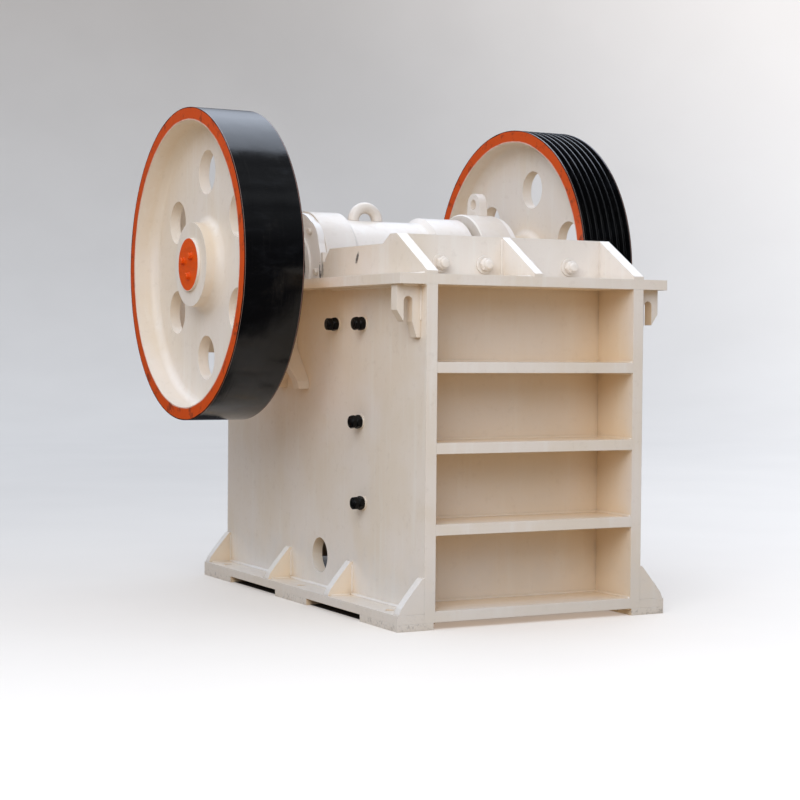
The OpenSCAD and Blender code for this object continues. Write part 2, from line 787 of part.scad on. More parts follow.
// Coil spring: a round wire swept along a helix, with flat closed ends
module tension_spring() {
    per_turn = 16;
    sides = 8;
    rings = turns * per_turn;
    run = spring_l - 2 * wire_r;
    // Share of the length at share t of the turns: level over the first and last three quarters
    function rise(t) = let (e = 0.75 / turns) t < e ? 0 : t > 1 - e ? 1 : (t - e) / (1 - 2 * e);
    function ring(k) = let (t = k / rings, a = 360 * turns * t)
        [for (j = [0:sides - 1]) let (b = 360 * j / sides, r = coil_r + wire_r * cos(b))
            [r * cos(a), r * sin(a), wire_r + run * rise(t) + wire_r * sin(b)]];
    points = [for (k = [0:rings]) each ring(k)];
    walls = [for (k = [0:rings - 1], j = [0:sides - 1]) let (n = (j + 1) % sides)
        [k * sides + j, k * sides + n, (k + 1) * sides + n, (k + 1) * sides + j]];
    color(steel) placed() translate([0, spring_y, rod_front[1]]) rotate([-90, 0, 0])
        polyhedron(points, concat([[for (j = [0:sides - 1]) sides - 1 - j]], walls,
            [[for (j = [0:sides - 1]) rings * sides + j]]));
}

module eccentric_shaft() {
    color(steel) placed() {
        shaft_bar(shaft_r, barrel_left, barrel_right);
        shaft_bar(journal_r, barrel_right, journal_end);
        shaft_bar(journal_r, -journal_end, barrel_left);
        shaft_bar(wheel_seat_r, journal_end, pulley_hub_out);
        shaft_bar(wheel_seat_r, -fly_hub_out, -journal_end);
    }
}

// Fillet of radius r filling the corner at the origin, towards +X and +Y
module corner_fillet(r) {
    difference() {
        square(r);
        translate([r, r]) circle(r);
    }
}

// Wheel section: radius along X, width along Y, web in the middle of the rim
module wheel_section(w, hub_low, hub_high) {
    web_low = (w - web_t) / 2;
    web_high = (w + web_t) / 2;
    rim_in = wheel_r - rim_t;
    bore = wheel_seat_r + run_gap;
    translate([rim_in, 0]) square([rim_t, w]);
    translate([hub_r - cut, web_low]) square([rim_in - hub_r + 2 * cut, web_t]);
    translate([bore, hub_low]) square([hub_r - bore, hub_high - hub_low]);
    translate([hub_r, web_high]) corner_fillet(web_fillet);
    translate([rim_in, web_high]) mirror([1, 0]) corner_fillet(web_fillet);
    translate([hub_r, web_low]) mirror([0, 1]) corner_fillet(web_fillet);
    translate([rim_in, web_low]) mirror([1, 0]) mirror([0, 1]) corner_fillet(web_fillet);
}

module web_holes(r, x0, x1, phase) {
    count = 6;
    for (k = [0:count - 1]) {
        a = phase + k * 360 / count;
        cross_bar([shaft_y + web_pcd_r * cos(a), shaft_z + web_pcd_r * sin(a)], r, x0, x1);
    }
}

module flywheel() {
    color(black) placed() difference() {
        about_shaft() translate([0, -fly_out])
            wheel_section(fly_w, hub_back, hub_back + fly_hub_l);
        web_holes(fly_hole_r, -fly_out, -fly_in, 90);
    }
}

module drive_pulley() {
    phase = 99;
    color(black) placed() difference() {
        about_shaft() translate([0, pulley_in]) difference() {
            wheel_section(pulley_w, -pulley_hub_over, pulley_hub_out - pulley_in);
            for (k = [0:grooves - 1])
                translate([wheel_r, groove_edge + k * groove_pitch]) polygon([[0, groove_w / 2],
                    [-groove_d, groove_low_w / 2], [-groove_d, -groove_low_w / 2],
                    [0, -groove_w / 2]]);
        }
        web_holes(pulley_hole_r, pulley_in, pulley_out, phase);
    }
}

module shaft_end(x0) {
    color(orange) placed() shaft_bar(end_disc_r, x0, x0 + end_disc_t);
}

side_plate(-1);  // left_side_plate
side_plate(1);  // right_side_plate
front_wall();
front_shelf(shelf_1_z);  // front_shelf_1
front_shelf(shelf_2_z);  // front_shelf_2
front_shelf(shelf_3_z);  // front_shelf_3
front_shelf(shelf_4_z);  // front_shelf_4
top_flange_front();
top_flange(-1);  // top_flange_left
top_flange(1);  // top_flange_right
base_flange(-1);  // base_flange_left
base_flange(1);  // base_flange_right
foot_pads(-1);  // foot_pads_left
foot_pads(1);  // foot_pads_right
base_gussets(-1);  // base_gussets_left
base_gussets(1);  // base_gussets_right
guard_gusset();
lifting_hook(-1);  // lifting_hook_left
lifting_hook(1);  // lifting_hook_right
bearing_seat(-1);  // bearing_seat_left
bearing_seat(1);  // bearing_seat_right
rear_wall();
rear_shelves();
rear_beam();
toggle_block();
toggle_plate();
cheek_plate(-1);  // cheek_plate_left
cheek_plate(1);  // cheek_plate_right
fixed_jaw_plate();
moving_jaw();
moving_jaw_plate();
bearing_housing(-1);  // bearing_housing_left
bearing_housing(1);  // bearing_housing_right
bearing_cover(-1);  // bearing_cover_left
bearing_cover(1);  // bearing_cover_right
lifting_eye_left();
lifting_eye_right();
tension_rod();
tension_spring();
eccentric_shaft();
flywheel();
drive_pulley();
shaft_end(-fly_hub_out - end_disc_t);  // shaft_end_left
shaft_end(pulley_hub_out);  // shaft_end_right
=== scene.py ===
# %% [markdown]
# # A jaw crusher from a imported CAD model
# The model comes in as a fixed frame of named steel pieces. This script adds what a drawing leaves
# out: bolts, nuts, weld seams, paint and wear. Each cell makes one kind of thing, so a learner can
# run the script cell by cell and look at what appeared.

# %% Load the frame and measure it
import math

import bpy
import numpy as np
from mathutils import Matrix, Vector


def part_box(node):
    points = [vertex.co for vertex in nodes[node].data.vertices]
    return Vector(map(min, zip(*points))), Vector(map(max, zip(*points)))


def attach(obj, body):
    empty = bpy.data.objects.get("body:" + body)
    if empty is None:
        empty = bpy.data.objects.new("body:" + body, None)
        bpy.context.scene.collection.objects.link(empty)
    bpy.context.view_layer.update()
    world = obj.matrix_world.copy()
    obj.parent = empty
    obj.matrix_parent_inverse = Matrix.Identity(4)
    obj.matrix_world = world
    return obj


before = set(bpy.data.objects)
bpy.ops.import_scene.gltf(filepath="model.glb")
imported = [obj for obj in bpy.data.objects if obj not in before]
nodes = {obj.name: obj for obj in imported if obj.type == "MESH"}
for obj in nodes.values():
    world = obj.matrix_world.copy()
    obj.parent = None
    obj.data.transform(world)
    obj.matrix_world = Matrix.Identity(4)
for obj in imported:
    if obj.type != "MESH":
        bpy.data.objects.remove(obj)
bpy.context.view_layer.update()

# %% [markdown]
# ## Sizes taken from the model
# A bolt placed by a typed number drifts away as soon as the model changes. So the places come
# from the boxes of the CAD pieces: the plate's outer face, the wheel's centre, the flange's top.

# %% Sizes taken from the model
MM = 0.001  # drawings of machines are in millimetres, Blender is in metres


def low(name):
    """Lowest corner of a CAD piece's box."""
    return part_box(name)[0]


def high(name):
    """Highest corner of a CAD piece's box."""
    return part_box(name)[1]


plate_x = high("right_side_plate").x
inner_x = low("right_side_plate").x
front_y = low("right_side_plate").y
back_y = high("right_side_plate").y
wall_y = low("front_wall").y
flange_z = high("top_flange_front").z
flange_low_z = low("top_flange_front").z
base_z = high("base_flange_left").z
shaft_low, shaft_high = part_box("shaft_end_left")
shaft_y = (shaft_low.y + shaft_high.y) / 2
shaft_z = (shaft_low.z + shaft_high.z) / 2
wheel_r = (high("flywheel").y - low("flywheel").y) / 2
print("shaft at y", round(shaft_y, 4), "z", round(shaft_z, 4), "wheel radius", round(wheel_r, 4))

# %% [markdown]
# ## Solids skinned over rings
# Most small hardware is a row of closed loops joined like the skin of a paper lantern. The loops
# are computed as whole arrays, one formula for all corners, and the ends are closed by flat caps.
# A modelling tool would do the same with a circle that is extruded and scaled.

# %% Solids skinned over rings
def skin(rings):
    """Close a solid over rings, an array (rings, points, 3). Each loop turns anticlockwise when
    seen from the last ring's side, so all faces look outward."""
    count, points, _ = rings.shape
    start = np.arange(count - 1)[:, None] * points
    this = np.arange(points)[None, :]
    after = (this + 1) % points
    sides = [start + this, start + after, start + points + after, start + points + this]
    quads = np.stack(sides, -1).reshape(-1, 4).tolist()
    caps = [list(range(points))[::-1], list(range((count - 1) * points, count * points))]
    return rings.reshape(-1, 3), quads + caps


def merge(solids):
    """Join several (corners, faces) pairs into one."""
    corners, faces, total = [], [], 0
    for verts, polys in solids:
        corners.append(verts)
        faces += [[i + total for i in p] for p in polys]
        total += len(verts)
    return np.concatenate(corners), faces


print("helpers: skin, merge")


# %% Stand a solid in its place and make it a piece
def placed(solid, origin, axis, turn=0.0):
    """Stand a solid that was made along Z on origin, along axis, turned about it."""
    verts, faces = solid
    z = np.array(axis, float) / np.linalg.norm(axis)
    side = np.array([0.0, 0.0, 1.0]) if abs(z[2]) < 0.9 else np.array([0.0, 1.0, 0.0])
    x = np.cross(side, z)
    x /= np.linalg.norm(x)
    y = np.cross(z, x)
    c, s = math.cos(turn), math.sin(turn)
    basis = np.stack([c * x + s * y, -s * x + c * y, z])
    return verts @ basis + np.array(origin, float), faces


def piece(name, solid, body, smooth_angle=35):
    """Make a Blender object of a solid and let it ride on a body."""
    verts, faces = solid
    mesh = bpy.data.meshes.new(name)
    mesh.from_pydata(np.asarray(verts).tolist(), [], faces)
    mesh.update()
    obj = bpy.data.objects.new(name, mesh)
    bpy.context.scene.collection.objects.link(obj)
    mesh.shade_smooth()
    mesh.set_sharp_from_angle(angle=math.radians(smooth_angle))
    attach(obj, body)
    print(name, len(faces), "faces")
    return obj


print("helpers: placed, piece")

# %% [markdown]
# ## Round and hexagonal shapes
# A lathe turns a profile about an axis. A hexagon is a lathe whose radius changes with the angle,
# and where it is cut by a cone at its end the corners get the curved chamfer of a real nut.

# %% Round and hexagonal shapes
def lathe(profile, points=32):
    """Turn a list of (radius, height) about Z. Heights rise, and the ends are closed."""
    profile = np.array(profile, float)
    angle = np.linspace(0, 2 * math.pi, points, endpoint=False)
    r, z = profile[:, 0][:, None], profile[:, 1][:, None]
    rings = np.stack([r * np.cos(angle), r * np.sin(angle), z + 0 * angle], -1)
    return skin(rings)


def hexagon(flats, height, chamfer_both=False, points=48):
    """Hexagonal head or nut, flats wide across its sides: the radius at each angle is the distance
    to the hexagon's side, held below a cone that runs in from the corners near the end."""
    cone_top, cone_low = 0.7, 0.24  # shares of the height where the end cones begin
    angle = np.linspace(0, 2 * math.pi, points, endpoint=False)
    side = (angle % (math.pi / 3)) - math.pi / 6
    hexed = flats / 2 / np.cos(side)
    corner = flats / math.sqrt(3)
    share = np.array([0, 0.7, 0.76, 0.82, 0.88, 0.94, 1.0])
    limit = corner - np.clip(share - cone_top, 0, 1) / 0.3 * (corner - 0.93 * flats / 2)
    if chamfer_both:
        share = np.concatenate([[0, 0.06, 0.14, cone_low], share[1:]])
        lower = corner - np.clip(cone_low - share, 0, 1) / cone_low * (corner - 0.95 * flats / 2)
        limit = np.concatenate([lower[:4], limit[1:]])
    r = np.minimum(hexed[None, :], limit[:, None])
    z = (share * height)[:, None]
    rings = np.stack([r * np.cos(angle), r * np.sin(angle), z + 0 * angle], -1)
    return skin(rings)


def washer(radius, height, hole):
    """Washer with a small chamfer. The bolt hides its hole, so the back is closed inside hole."""
    c = min(0.2 * height, 1.5 * MM)
    return lathe([(hole, 0), (radius, 0), (radius, height - c), (radius - c, height)], 40)


print("helpers: lathe, hexagon, washer")

# %% [markdown]
# ## Side bolts
# Four bolts on each side hold the cheek plates, each with a nut and a locknut. They are dipped in
# black and stand on a washer that the sprayer painted with the frame. Each nut is turned by its own
# angle, as a fitter leaves it, and the angles come from a fixed list of random numbers.

# %% Side bolts
rng = np.random.default_rng(12)
SIXTH = math.pi / 3  # a hexagon looks the same after a sixth of a turn
# Each bolt's distance behind the front and its height, in metres.
SIDE_BOLTS = [(0.854, 1.293), (0.581, 1.294), (0.606, 0.855), (0.577, 0.493)]
# The sizes from here on are in millimetres.
SIDE_WASHER = (33, 5)  # radius and thickness
SIDE_NUTS = [(5, 55, 27), (32.4, 54, 23)]  # distance from the plate, width over flats, height
BOLT_END = 55  # where the bolt's own end leaves the locknut, from the plate
BOLT_TIP = [(17, 0), (17, 1), (14, 4)]  # radius and height along its profile
bolts, washers = [], []
for side in (-1, 1):
    for y, z in SIDE_BOLTS:
        face = (side * plate_x, front_y + y, z)
        axis = (side, 0, 0)
        radius, thick = SIDE_WASHER
        washers.append(placed(washer(radius * MM, thick * MM, 20 * MM), face, axis))
        for offset, flats, height in SIDE_NUTS:
            stand = (face[0] + side * offset * MM, face[1], face[2])
            turn = rng.uniform(0, SIXTH)
            bolts.append(placed(hexagon(flats * MM, height * MM, True), stand, axis, turn))
        stand = (face[0] + side * BOLT_END * MM, face[1], face[2])
        bolts.append(placed(lathe(np.array(BOLT_TIP) * MM, 32), stand, axis))
side_bolts = piece("side_bolts", merge(bolts), "frame")
side_washers = piece("side_bolt_washers", merge(washers), "frame")

# %% [markdown]
# ## Studs of the fixed jaw's wedges
# Four studs come through the front wall above the flange. The paint covers washer, nut and thread
# together, so the whole set is one piece in the frame's colour.

# %% Studs of the fixed jaw's wedges
STUDS_X = (-0.333, -0.111, 0.111, 0.333)
STUD_RISE = 58  # height above the flange
STUD_WASHER = (41, 7)
STUD_NUT = (53, 28)
STUD_END = [(21, 0), (21, 11), (19, 15), (14, 17.5), (5, 18.5)]  # rounded by thick paint
studs = []
axis = (0, -1, 0)
for x in STUDS_X:
    z = flange_z + STUD_RISE * MM
    turn = rng.uniform(0, SIXTH)
    radius, thick = STUD_WASHER
    flats, height = STUD_NUT
    studs.append(placed(washer(radius * MM, thick * MM, 20 * MM), (x, wall_y, z), axis))
    nut = hexagon(flats * MM, height * MM, True)
    studs.append(placed(nut, (x, wall_y - thick * MM, z), axis, turn))
    end = lathe(np.array(STUD_END) * MM, 32)
    studs.append(placed(end, (x, wall_y - (thick + height - 0.2) * MM, z), axis))
wall_studs = piece("wall_studs", merge(studs), "frame")

# %% [markdown]
# ## Bolts of the bearing covers and of the shaft ends
# Four bolts hold each cover on its housing, and three hold the disc on each shaft end. The
# same hexagon serves for both, placed around a circle by the sine and cosine of its angle.

# %% Bolts of the bearing covers and of the shaft ends
def head(spot, side, radius, thick, flats, height):
    """Washer and bolt head on a face that looks to one side."""
    turn = rng.uniform(0, SIXTH)
    stand = (spot[0] + side * thick * MM, spot[1], spot[2])
    return [placed(washer(radius * MM, thick * MM, 10 * MM), spot, (side, 0, 0)),
            placed(hexagon(flats * MM, height * MM), stand, (side, 0, 0), turn)]


def around(x, radius, degrees):
    """Place on a circle about the shaft."""
    angle = math.radians(degrees)
    return (x, shaft_y + radius * math.cos(angle), shaft_z + radius * math.sin(angle))


COVER_FACE = 5  # how far the covers' faces lie inside the side plates' faces
COVER_EDGE = 39  # from a cover's edge to its bolts
COVER_ANGLES = (-7, 48, 132, 187)
COVER_HEAD = (19, 3, 30, 13)  # washer's radius and thickness, head's width over flats and height
cover_bolts = []
for side, name in ((-1, "bearing_cover_left"), (1, "bearing_cover_right")):
    radius = (high(name).z - shaft_z) - COVER_EDGE * MM
    for degrees in COVER_ANGLES:
        spot = around(side * (plate_x - COVER_FACE * MM), radius, degrees)
        cover_bolts += head(spot, side, *COVER_HEAD)
cover_bolts = piece("bearing_cover_bolts", merge(cover_bolts), "frame")

DISC_BOLTS_R = 56  # radius of the circle of bolts on a shaft end
DISC_HEAD = (18, 3, 28, 16)
end_bolts = []
for side, name, phase in ((-1, "shaft_end_left", 18), (1, "shaft_end_right", 20)):
    face_x = low(name).x if side < 0 else high(name).x
    for third in range(3):
        spot = around(face_x, DISC_BOLTS_R * MM, phase + 120 * third)
        end_bolts += head(spot, side, *DISC_HEAD)
end_bolts = piece("shaft_end_bolts", merge(end_bolts), "rotor")

# %% [markdown]
# ## Weld seams
# Plates meet in fillet welds. The bead's section is a bulged quarter round between the two faces,
# swept along the corner, and its size swells once per drop of metal. The drops lag behind at the
# edges, which gives the curved scales of a real seam.

# %% A weld seam
def weld(start, end, along_a, along_b, leg=8 * MM, scale=8 * MM):
    """Bead from start to end in the corner between two faces, which run off along along_a and
    along_b. Leg is its width on each face, scale the length of one drop. The width is the leg,
    times a slow sway, times the swelling of the drops, times a taper at both ends."""
    start, end = np.array(start, float), np.array(end, float)
    run = end - start
    length = np.linalg.norm(run)
    forward = run / length
    a, b = np.array(along_a, float), np.array(along_b, float)
    if np.dot(np.cross(forward, a), b) < 0:
        a, b = b, a
    t = np.linspace(0, length, max(6, int(length / scale * 4)))[:, None]
    phi = np.linspace(0, math.pi / 2, 6)[None, :]
    lag = 0.35 * np.cos(2 * phi) ** 2
    drop = 0.5 + 0.5 * np.cos(2 * math.pi * (t / scale + lag))
    sway = np.sin(t * 37.0 + start.sum() * 50) * 0.04 + np.sin(t * 11.0 + start[0] * 90) * 0.05
    taper = np.clip(np.minimum(t, length - t) / (0.8 * leg), 0, 1) ** 0.5 * 0.7 + 0.3
    size = leg * (1 + sway + 0.07 * drop * np.sin(2 * phi)) * taper
    on_a, on_b = size * np.cos(phi) ** 1.35, size * np.sin(phi) ** 1.35
    skinned = on_a[..., None] * a + on_b[..., None] * b
    root = np.broadcast_to(-0.6 * MM * (a + b), (len(t), 1, 3))
    rings = np.concatenate([root, skinned], axis=1) + start + t[..., None] * forward
    return skin(rings)


print("helper: weld")

# %% Weld seams of the shelves
X, Y, Z = np.eye(3)
seams = []
for name in ("front_shelf_1", "front_shelf_2", "front_shelf_3", "front_shelf_4"):
    lo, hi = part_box(name)
    for side in (-1, 1):
        for z, up in ((hi.z, Z), (lo.z, -Z)):
            if z > flange_low_z - 1 * MM and up[2] > 0:
                continue
            corner = side * inner_x
            seams.append(weld((corner, lo.y + 4 * MM, z), (corner, wall_y, z), -side * X, up))
    for z, up in ((hi.z, Z), (lo.z, -Z)):
        seams.append(weld((-inner_x, wall_y, z), (inner_x, wall_y, z), -Y, up))
shelf_welds = piece("shelf_welds", merge(seams), "frame", 60)

# %% Weld seams of the flanges and gussets
FOOT_RUN = 105  # how far a gusset's seam runs out over the base flange
GUSSET_LEG = 6  # thin seams of the gussets and hooks
UNDER_END, UPPER_END = 0.40, 0.34  # where the flange's seams stop before the shaft, in metres
seams = []
for side, hand in ((-1, "left"), (1, "right")):
    corner = side * plate_x
    seams.append(weld((corner, front_y, flange_low_z),
                      (corner, shaft_y - UNDER_END, flange_low_z), side * X, -Z))
    seams.append(weld((corner, front_y + 20 * MM, flange_z),
                      (corner, shaft_y - UPPER_END, flange_z), side * X, Z))
    seams.append(weld((corner, front_y, base_z), (corner, back_y, base_z), side * X, Z, 10 * MM))
    gussets = "base_gussets_" + hand
    top = high(gussets).z - 12 * MM
    wide = corner + side * FOOT_RUN * MM
    faces_y = np.unique(np.round([v.co.y for v in nodes[gussets].data.vertices], 4))
    for y in faces_y:
        partner = faces_y[(np.abs(faces_y - y) > 0.02) & (np.abs(faces_y - y) < 0.08)]
        if len(partner) == 0 or y < front_y + 1 * MM or y > back_y - 1 * MM:
            continue
        outward = -Y if partner[0] > y else Y
        seams.append(weld((corner, y, base_z + 8 * MM), (corner, y, top), side * X, outward,
                          GUSSET_LEG * MM))
        seams.append(weld((corner + side * 8 * MM, y, base_z), (wide, y, base_z), Z, outward,
                          GUSSET_LEG * MM))
lo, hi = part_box("guard_gusset")
for x, outward in ((lo.x, -X), (hi.x, X)):
    seams.append(weld((x, front_y + 30 * MM, flange_z), (x, wall_y, flange_z), outward, Z))
    seams.append(weld((x, wall_y, flange_z), (x, wall_y, hi.z - 8 * MM), outward, -Y))
seams.append(weld((-inner_x, wall_y, flange_z), (inner_x, wall_y, flange_z), -Y, Z))
flange_welds = piece("flange_welds", merge(seams), "frame", 60)

# %% Weld seams of the lifting hooks
HOOK_DROP = 70  # the seams begin this far above a hook's lowest point
HOOK_RUN = 90
seams = []
for side, hand in ((-1, "left"), (1, "right")):
    lo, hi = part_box("lifting_hook_" + hand)
    corner = side * plate_x
    wide = corner + side * HOOK_RUN * MM
    for y, outward in ((lo.y, -Y), (hi.y, Y)):
        seams.append(weld((corner, y, lo.z + HOOK_DROP * MM), (corner, y, hi.z), side * X, outward,
                          GUSSET_LEG * MM))
        seams.append(weld((corner, y, hi.z), (wide, y, hi.z), -Z, outward, GUSSET_LEG * MM))
hook_welds = piece("hook_welds", merge(seams), "frame", 60)

# %% [markdown]
# ## Shader groups that all materials share
# A node group is a small machine: numbers go in, masks come out. Written once, it gives every
# material the same blotches, worn edges, dirt, painted shade and painted highlights. The groups
# only put out values, colours and normals, and each material keeps its own surface shader.

# %% Helpers for node trees
def add(tree, kind, inputs=None, **settings):
    """Add a node. Inputs maps a socket's name or number to a value or to another socket."""
    made = tree.nodes.new(kind)
    for key, value in settings.items():
        setattr(made, key, value)
    for key, value in (inputs or {}).items():
        if isinstance(value, bpy.types.NodeSocket):
            tree.links.new(value, made.inputs[key])
        else:
            made.inputs[key].default_value = value
    return made


def calc(tree, operation, a, b=0.0, c=0.0):
    """One arithmetic step; a, b and c are numbers or sockets."""
    return add(tree, "ShaderNodeMath", {0: a, 1: b, 2: c}, operation=operation).outputs[0]


def blend(tree, share, a, b):
    """Mix two colours: a where the share is 0, b where it is 1."""
    made = add(tree, "ShaderNodeMix", {"Factor": share, 6: a, 7: b}, data_type="RGBA")
    return made.outputs[2]


def over(tree, colour, paint, mask, strength):
    """Lay a paint over a colour where a mask says so, at a strength from 0 to 1."""
    return blend(tree, calc(tree, "MULTIPLY", mask, strength), colour, paint)


print("helpers: add, calc, blend, over")


# %% Helpers that shape a value
def spread(tree, value, a, b, out_a=0.0, out_b=1.0, smooth=True):
    """Map a value from the range a to b onto another range, with a soft start and end."""
    kind = "SMOOTHSTEP" if smooth else "LINEAR"
    made = add(tree, "ShaderNodeMapRange", {"Value": value, 1: a, 2: b, 3: out_a, 4: out_b},
               interpolation_type=kind)
    return made.outputs[0]


def noise(tree, vector, scale, detail=2.0, rough=0.5, distortion=0.0):
    """Cloudy noise between 0 and 1."""
    made = add(tree, "ShaderNodeTexNoise", {"Vector": vector, "Scale": scale, "Detail": detail,
                                            "Roughness": rough, "Distortion": distortion})
    return made.outputs["Fac"]


def stretch(tree, vector, factors):
    """Multiply a position by a factor per axis."""
    made = add(tree, "ShaderNodeVectorMath", {0: vector, 1: factors}, operation="MULTIPLY")
    return made.outputs[0]


def split(tree, vector):
    """The three numbers of a position."""
    return add(tree, "ShaderNodeSeparateXYZ", {0: vector}).outputs


print("helpers: spread, noise, stretch, split")


# %% Start a shader group
def new_group(name, inputs, outputs):
    """Start a shader group. Inputs and outputs map names to (socket kind, default)."""
    tree = bpy.data.node_groups.new(name, "ShaderNodeTree")
    for direction, sockets in (("INPUT", inputs), ("OUTPUT", outputs)):
        for label, (kind, default) in sockets.items():
            made = tree.interface.new_socket(name=label, in_out=direction, socket_type=kind)
            if default is not None and direction == "INPUT":
                made.default_value = default
    return tree, tree.nodes.new("NodeGroupInput"), tree.nodes.new("NodeGroupOutput")


FLOAT, VECTOR = "NodeSocketFloat", "NodeSocketVector"
print("helper: new_group")

# %% Group: uneven paint
# Thick blotches, fine speckle and faint runs that gravity pulled down the plates.
uneven, take, give = new_group("uneven_paint", {"Vector": (VECTOR, None)},
                               {"Blotch": (FLOAT, None), "Fine": (FLOAT, None),
                                "Runs": (FLOAT, None)})
where = take.outputs["Vector"]
uneven.links.new(noise(uneven, where, 2.3, 3.0, 0.55, 0.4), give.inputs["Blotch"])
uneven.links.new(noise(uneven, where, 28.0, 4.0, 0.6), give.inputs["Fine"])
runs = noise(uneven, stretch(uneven, where, (22.0, 22.0, 1.6)), 1.0, 3.0, 0.55)
uneven.links.new(runs, give.inputs["Runs"])

# %% Group: edges, their wear and a painted highlight
# The bevel node rounds the shading of sharp edges. Where the rounded direction leaves the flat
# face's direction there is an edge, and noise breaks the edge into chips. Paler paint along the
# edge mask is a painted highlight on cream and orange paint, and wear on bolts and bare metal.
edges, take, give = new_group("edges_wear_and_highlight", {"Vector": (VECTOR, None), "Radius": (FLOAT, 0.003)},
                              {"Edge": (FLOAT, None), "Chips": (FLOAT, None),
                               "Normal": (VECTOR, None)})
rounded = add(edges, "ShaderNodeBevel", {"Radius": take.outputs["Radius"]}, samples=6)
geometry = add(edges, "ShaderNodeNewGeometry")
dot = add(edges, "ShaderNodeVectorMath", {0: rounded.outputs[0], 1: geometry.outputs["Normal"]},
          operation="DOT_PRODUCT").outputs["Value"]
edge = spread(edges, dot, 0.995, 0.80)
broken = noise(edges, take.outputs["Vector"], 26.0, 5.0, 0.65)
chips = calc(edges, "MULTIPLY", edge, spread(edges, broken, 0.62, 0.70))
edges.links.new(edge, give.inputs["Edge"])
edges.links.new(chips, give.inputs["Chips"])
edges.links.new(rounded.outputs[0], give.inputs["Normal"])

# %% Group: dirt and painted shade
# Corners, which the ambient occlusion node finds, get darker in patches of noise, and dust lies
# near the ground. A second, wider look finds the sheltered faces, which get a painted shade.
dirt, take, give = new_group("dirt", {"Vector": (VECTOR, None)},
                             {"Corners": (FLOAT, None), "Low": (FLOAT, None),
                              "PaintedShade": (FLOAT, None)})
closed = add(dirt, "ShaderNodeAmbientOcclusion", {"Distance": 0.05}, samples=8)
cloud = noise(dirt, take.outputs["Vector"], 11.0, 4.0, 0.6)
corners = calc(dirt, "MULTIPLY", spread(dirt, closed.outputs["AO"], 0.75, 0.25),
               spread(dirt, cloud, 0.3, 0.65))
height = split(dirt, take.outputs["Vector"])[2]
splash = calc(dirt, "ADD", height, calc(dirt, "MULTIPLY", cloud, -0.35))
dirt.links.new(corners, give.inputs["Corners"])
dirt.links.new(spread(dirt, splash, 0.16, -0.12), give.inputs["Low"])
# Painted shade: the wide ambient occlusion finds the sheltered faces.
wide = add(dirt, "ShaderNodeAmbientOcclusion", {"Distance": 0.55}, samples=8)
dirt.links.new(spread(dirt, wide.outputs["AO"], 0.62, 0.18), give.inputs["PaintedShade"])

# %% Group: plate waviness and orange peel
# Two heights become one bump: long waves of hot-rolled plate and the fine skin of sprayed paint.
skin_group, take, give = new_group("paint_skin", {"Vector": (VECTOR, None),
                                                  "Normal": (VECTOR, None),
                                                  "Grain": (FLOAT, 1.0)},
                                   {"Normal": (VECTOR, None)})
long_wave = noise(skin_group, take.outputs["Vector"], 4.5, 2.0, 0.5)
peel = noise(skin_group, take.outputs["Vector"], 210.0, 3.0, 0.6)
first = add(skin_group, "ShaderNodeBump", {"Height": long_wave, "Strength": 0.35,
                                           "Distance": 0.012,
                                           "Normal": take.outputs["Normal"]})
second = add(skin_group, "ShaderNodeBump", {"Height": peel, "Distance": 0.0012,
                                            "Strength": take.outputs["Grain"],
                                            "Normal": first.outputs[0]})
skin_group.links.new(second.outputs[0], give.inputs["Normal"])

# %% Group: distance from the shaft
# Wheels are painted by zones. The zones follow the distance from the shaft's axis and the place
# along it, both read from the object's own coordinates, so they turn with the wheel.
polar, take, give = new_group("wheel_place", {"Vector": (VECTOR, None)},
                              {"Radius": (FLOAT, None), "Along": (FLOAT, None),
                               "Ring": (VECTOR, None)})
off = add(polar, "ShaderNodeVectorMath", {0: take.outputs["Vector"],
                                          1: (0.0, shaft_y, shaft_z)}, operation="SUBTRACT")
flat = stretch(polar, off.outputs[0], (0.0, 1.0, 1.0))
radius = add(polar, "ShaderNodeVectorMath", {0: flat}, operation="LENGTH").outputs["Value"]
parts = split(polar, off.outputs[0])
turned = calc(polar, "ARCTAN2", parts[2], parts[1])
ring = add(polar, "ShaderNodeCombineXYZ", {0: calc(polar, "MULTIPLY", radius, 60.0),
                                           1: calc(polar, "MULTIPLY", parts[0], 60.0),
                                           2: calc(polar, "SINE", turned)})
polar.links.new(radius, give.inputs["Radius"])
polar.links.new(parts[0], give.inputs["Along"])
polar.links.new(ring.outputs[0], give.inputs["Ring"])
print("groups:", [g.name for g in bpy.data.node_groups])

# %% [markdown]
# ## Materials
# Colours are given as the eye reads them from a picture and turned into light values by the
# standard curve. Every material starts from object coordinates, because those stay with the piece.

# %% Helpers for materials
def light(red, green, blue):
    """Colour from 0 to 255 as seen in a picture, turned into light."""
    c = np.array([red, green, blue]) / 255
    c = np.where(c <= 0.04045, c / 12.92, ((c + 0.055) / 1.055) ** 2.4)
    return (*map(float, c), 1.0)


def use(tree, group, **inputs):
    """Add one of the shared groups."""
    made = tree.nodes.new("ShaderNodeGroup")
    made.node_tree = group
    for key, value in inputs.items():
        if isinstance(value, bpy.types.NodeSocket):
            tree.links.new(value, made.inputs[key])
        else:
            made.inputs[key].default_value = value
    return made.outputs


def start_material(name):
    """Empty material with a Principled shader; returns its tree, shader and object position."""
    material = bpy.data.materials.new(name)
    material.use_nodes = True
    tree = material.node_tree
    tree.nodes.clear()
    shader = add(tree, "ShaderNodeBsdfPrincipled")
    end = add(tree, "ShaderNodeOutputMaterial")
    tree.links.new(shader.outputs[0], end.inputs[0])
    where = add(tree, "ShaderNodeTexCoord").outputs["Object"]
    return material, tree, shader, where


print("helpers: light, use, start_material")

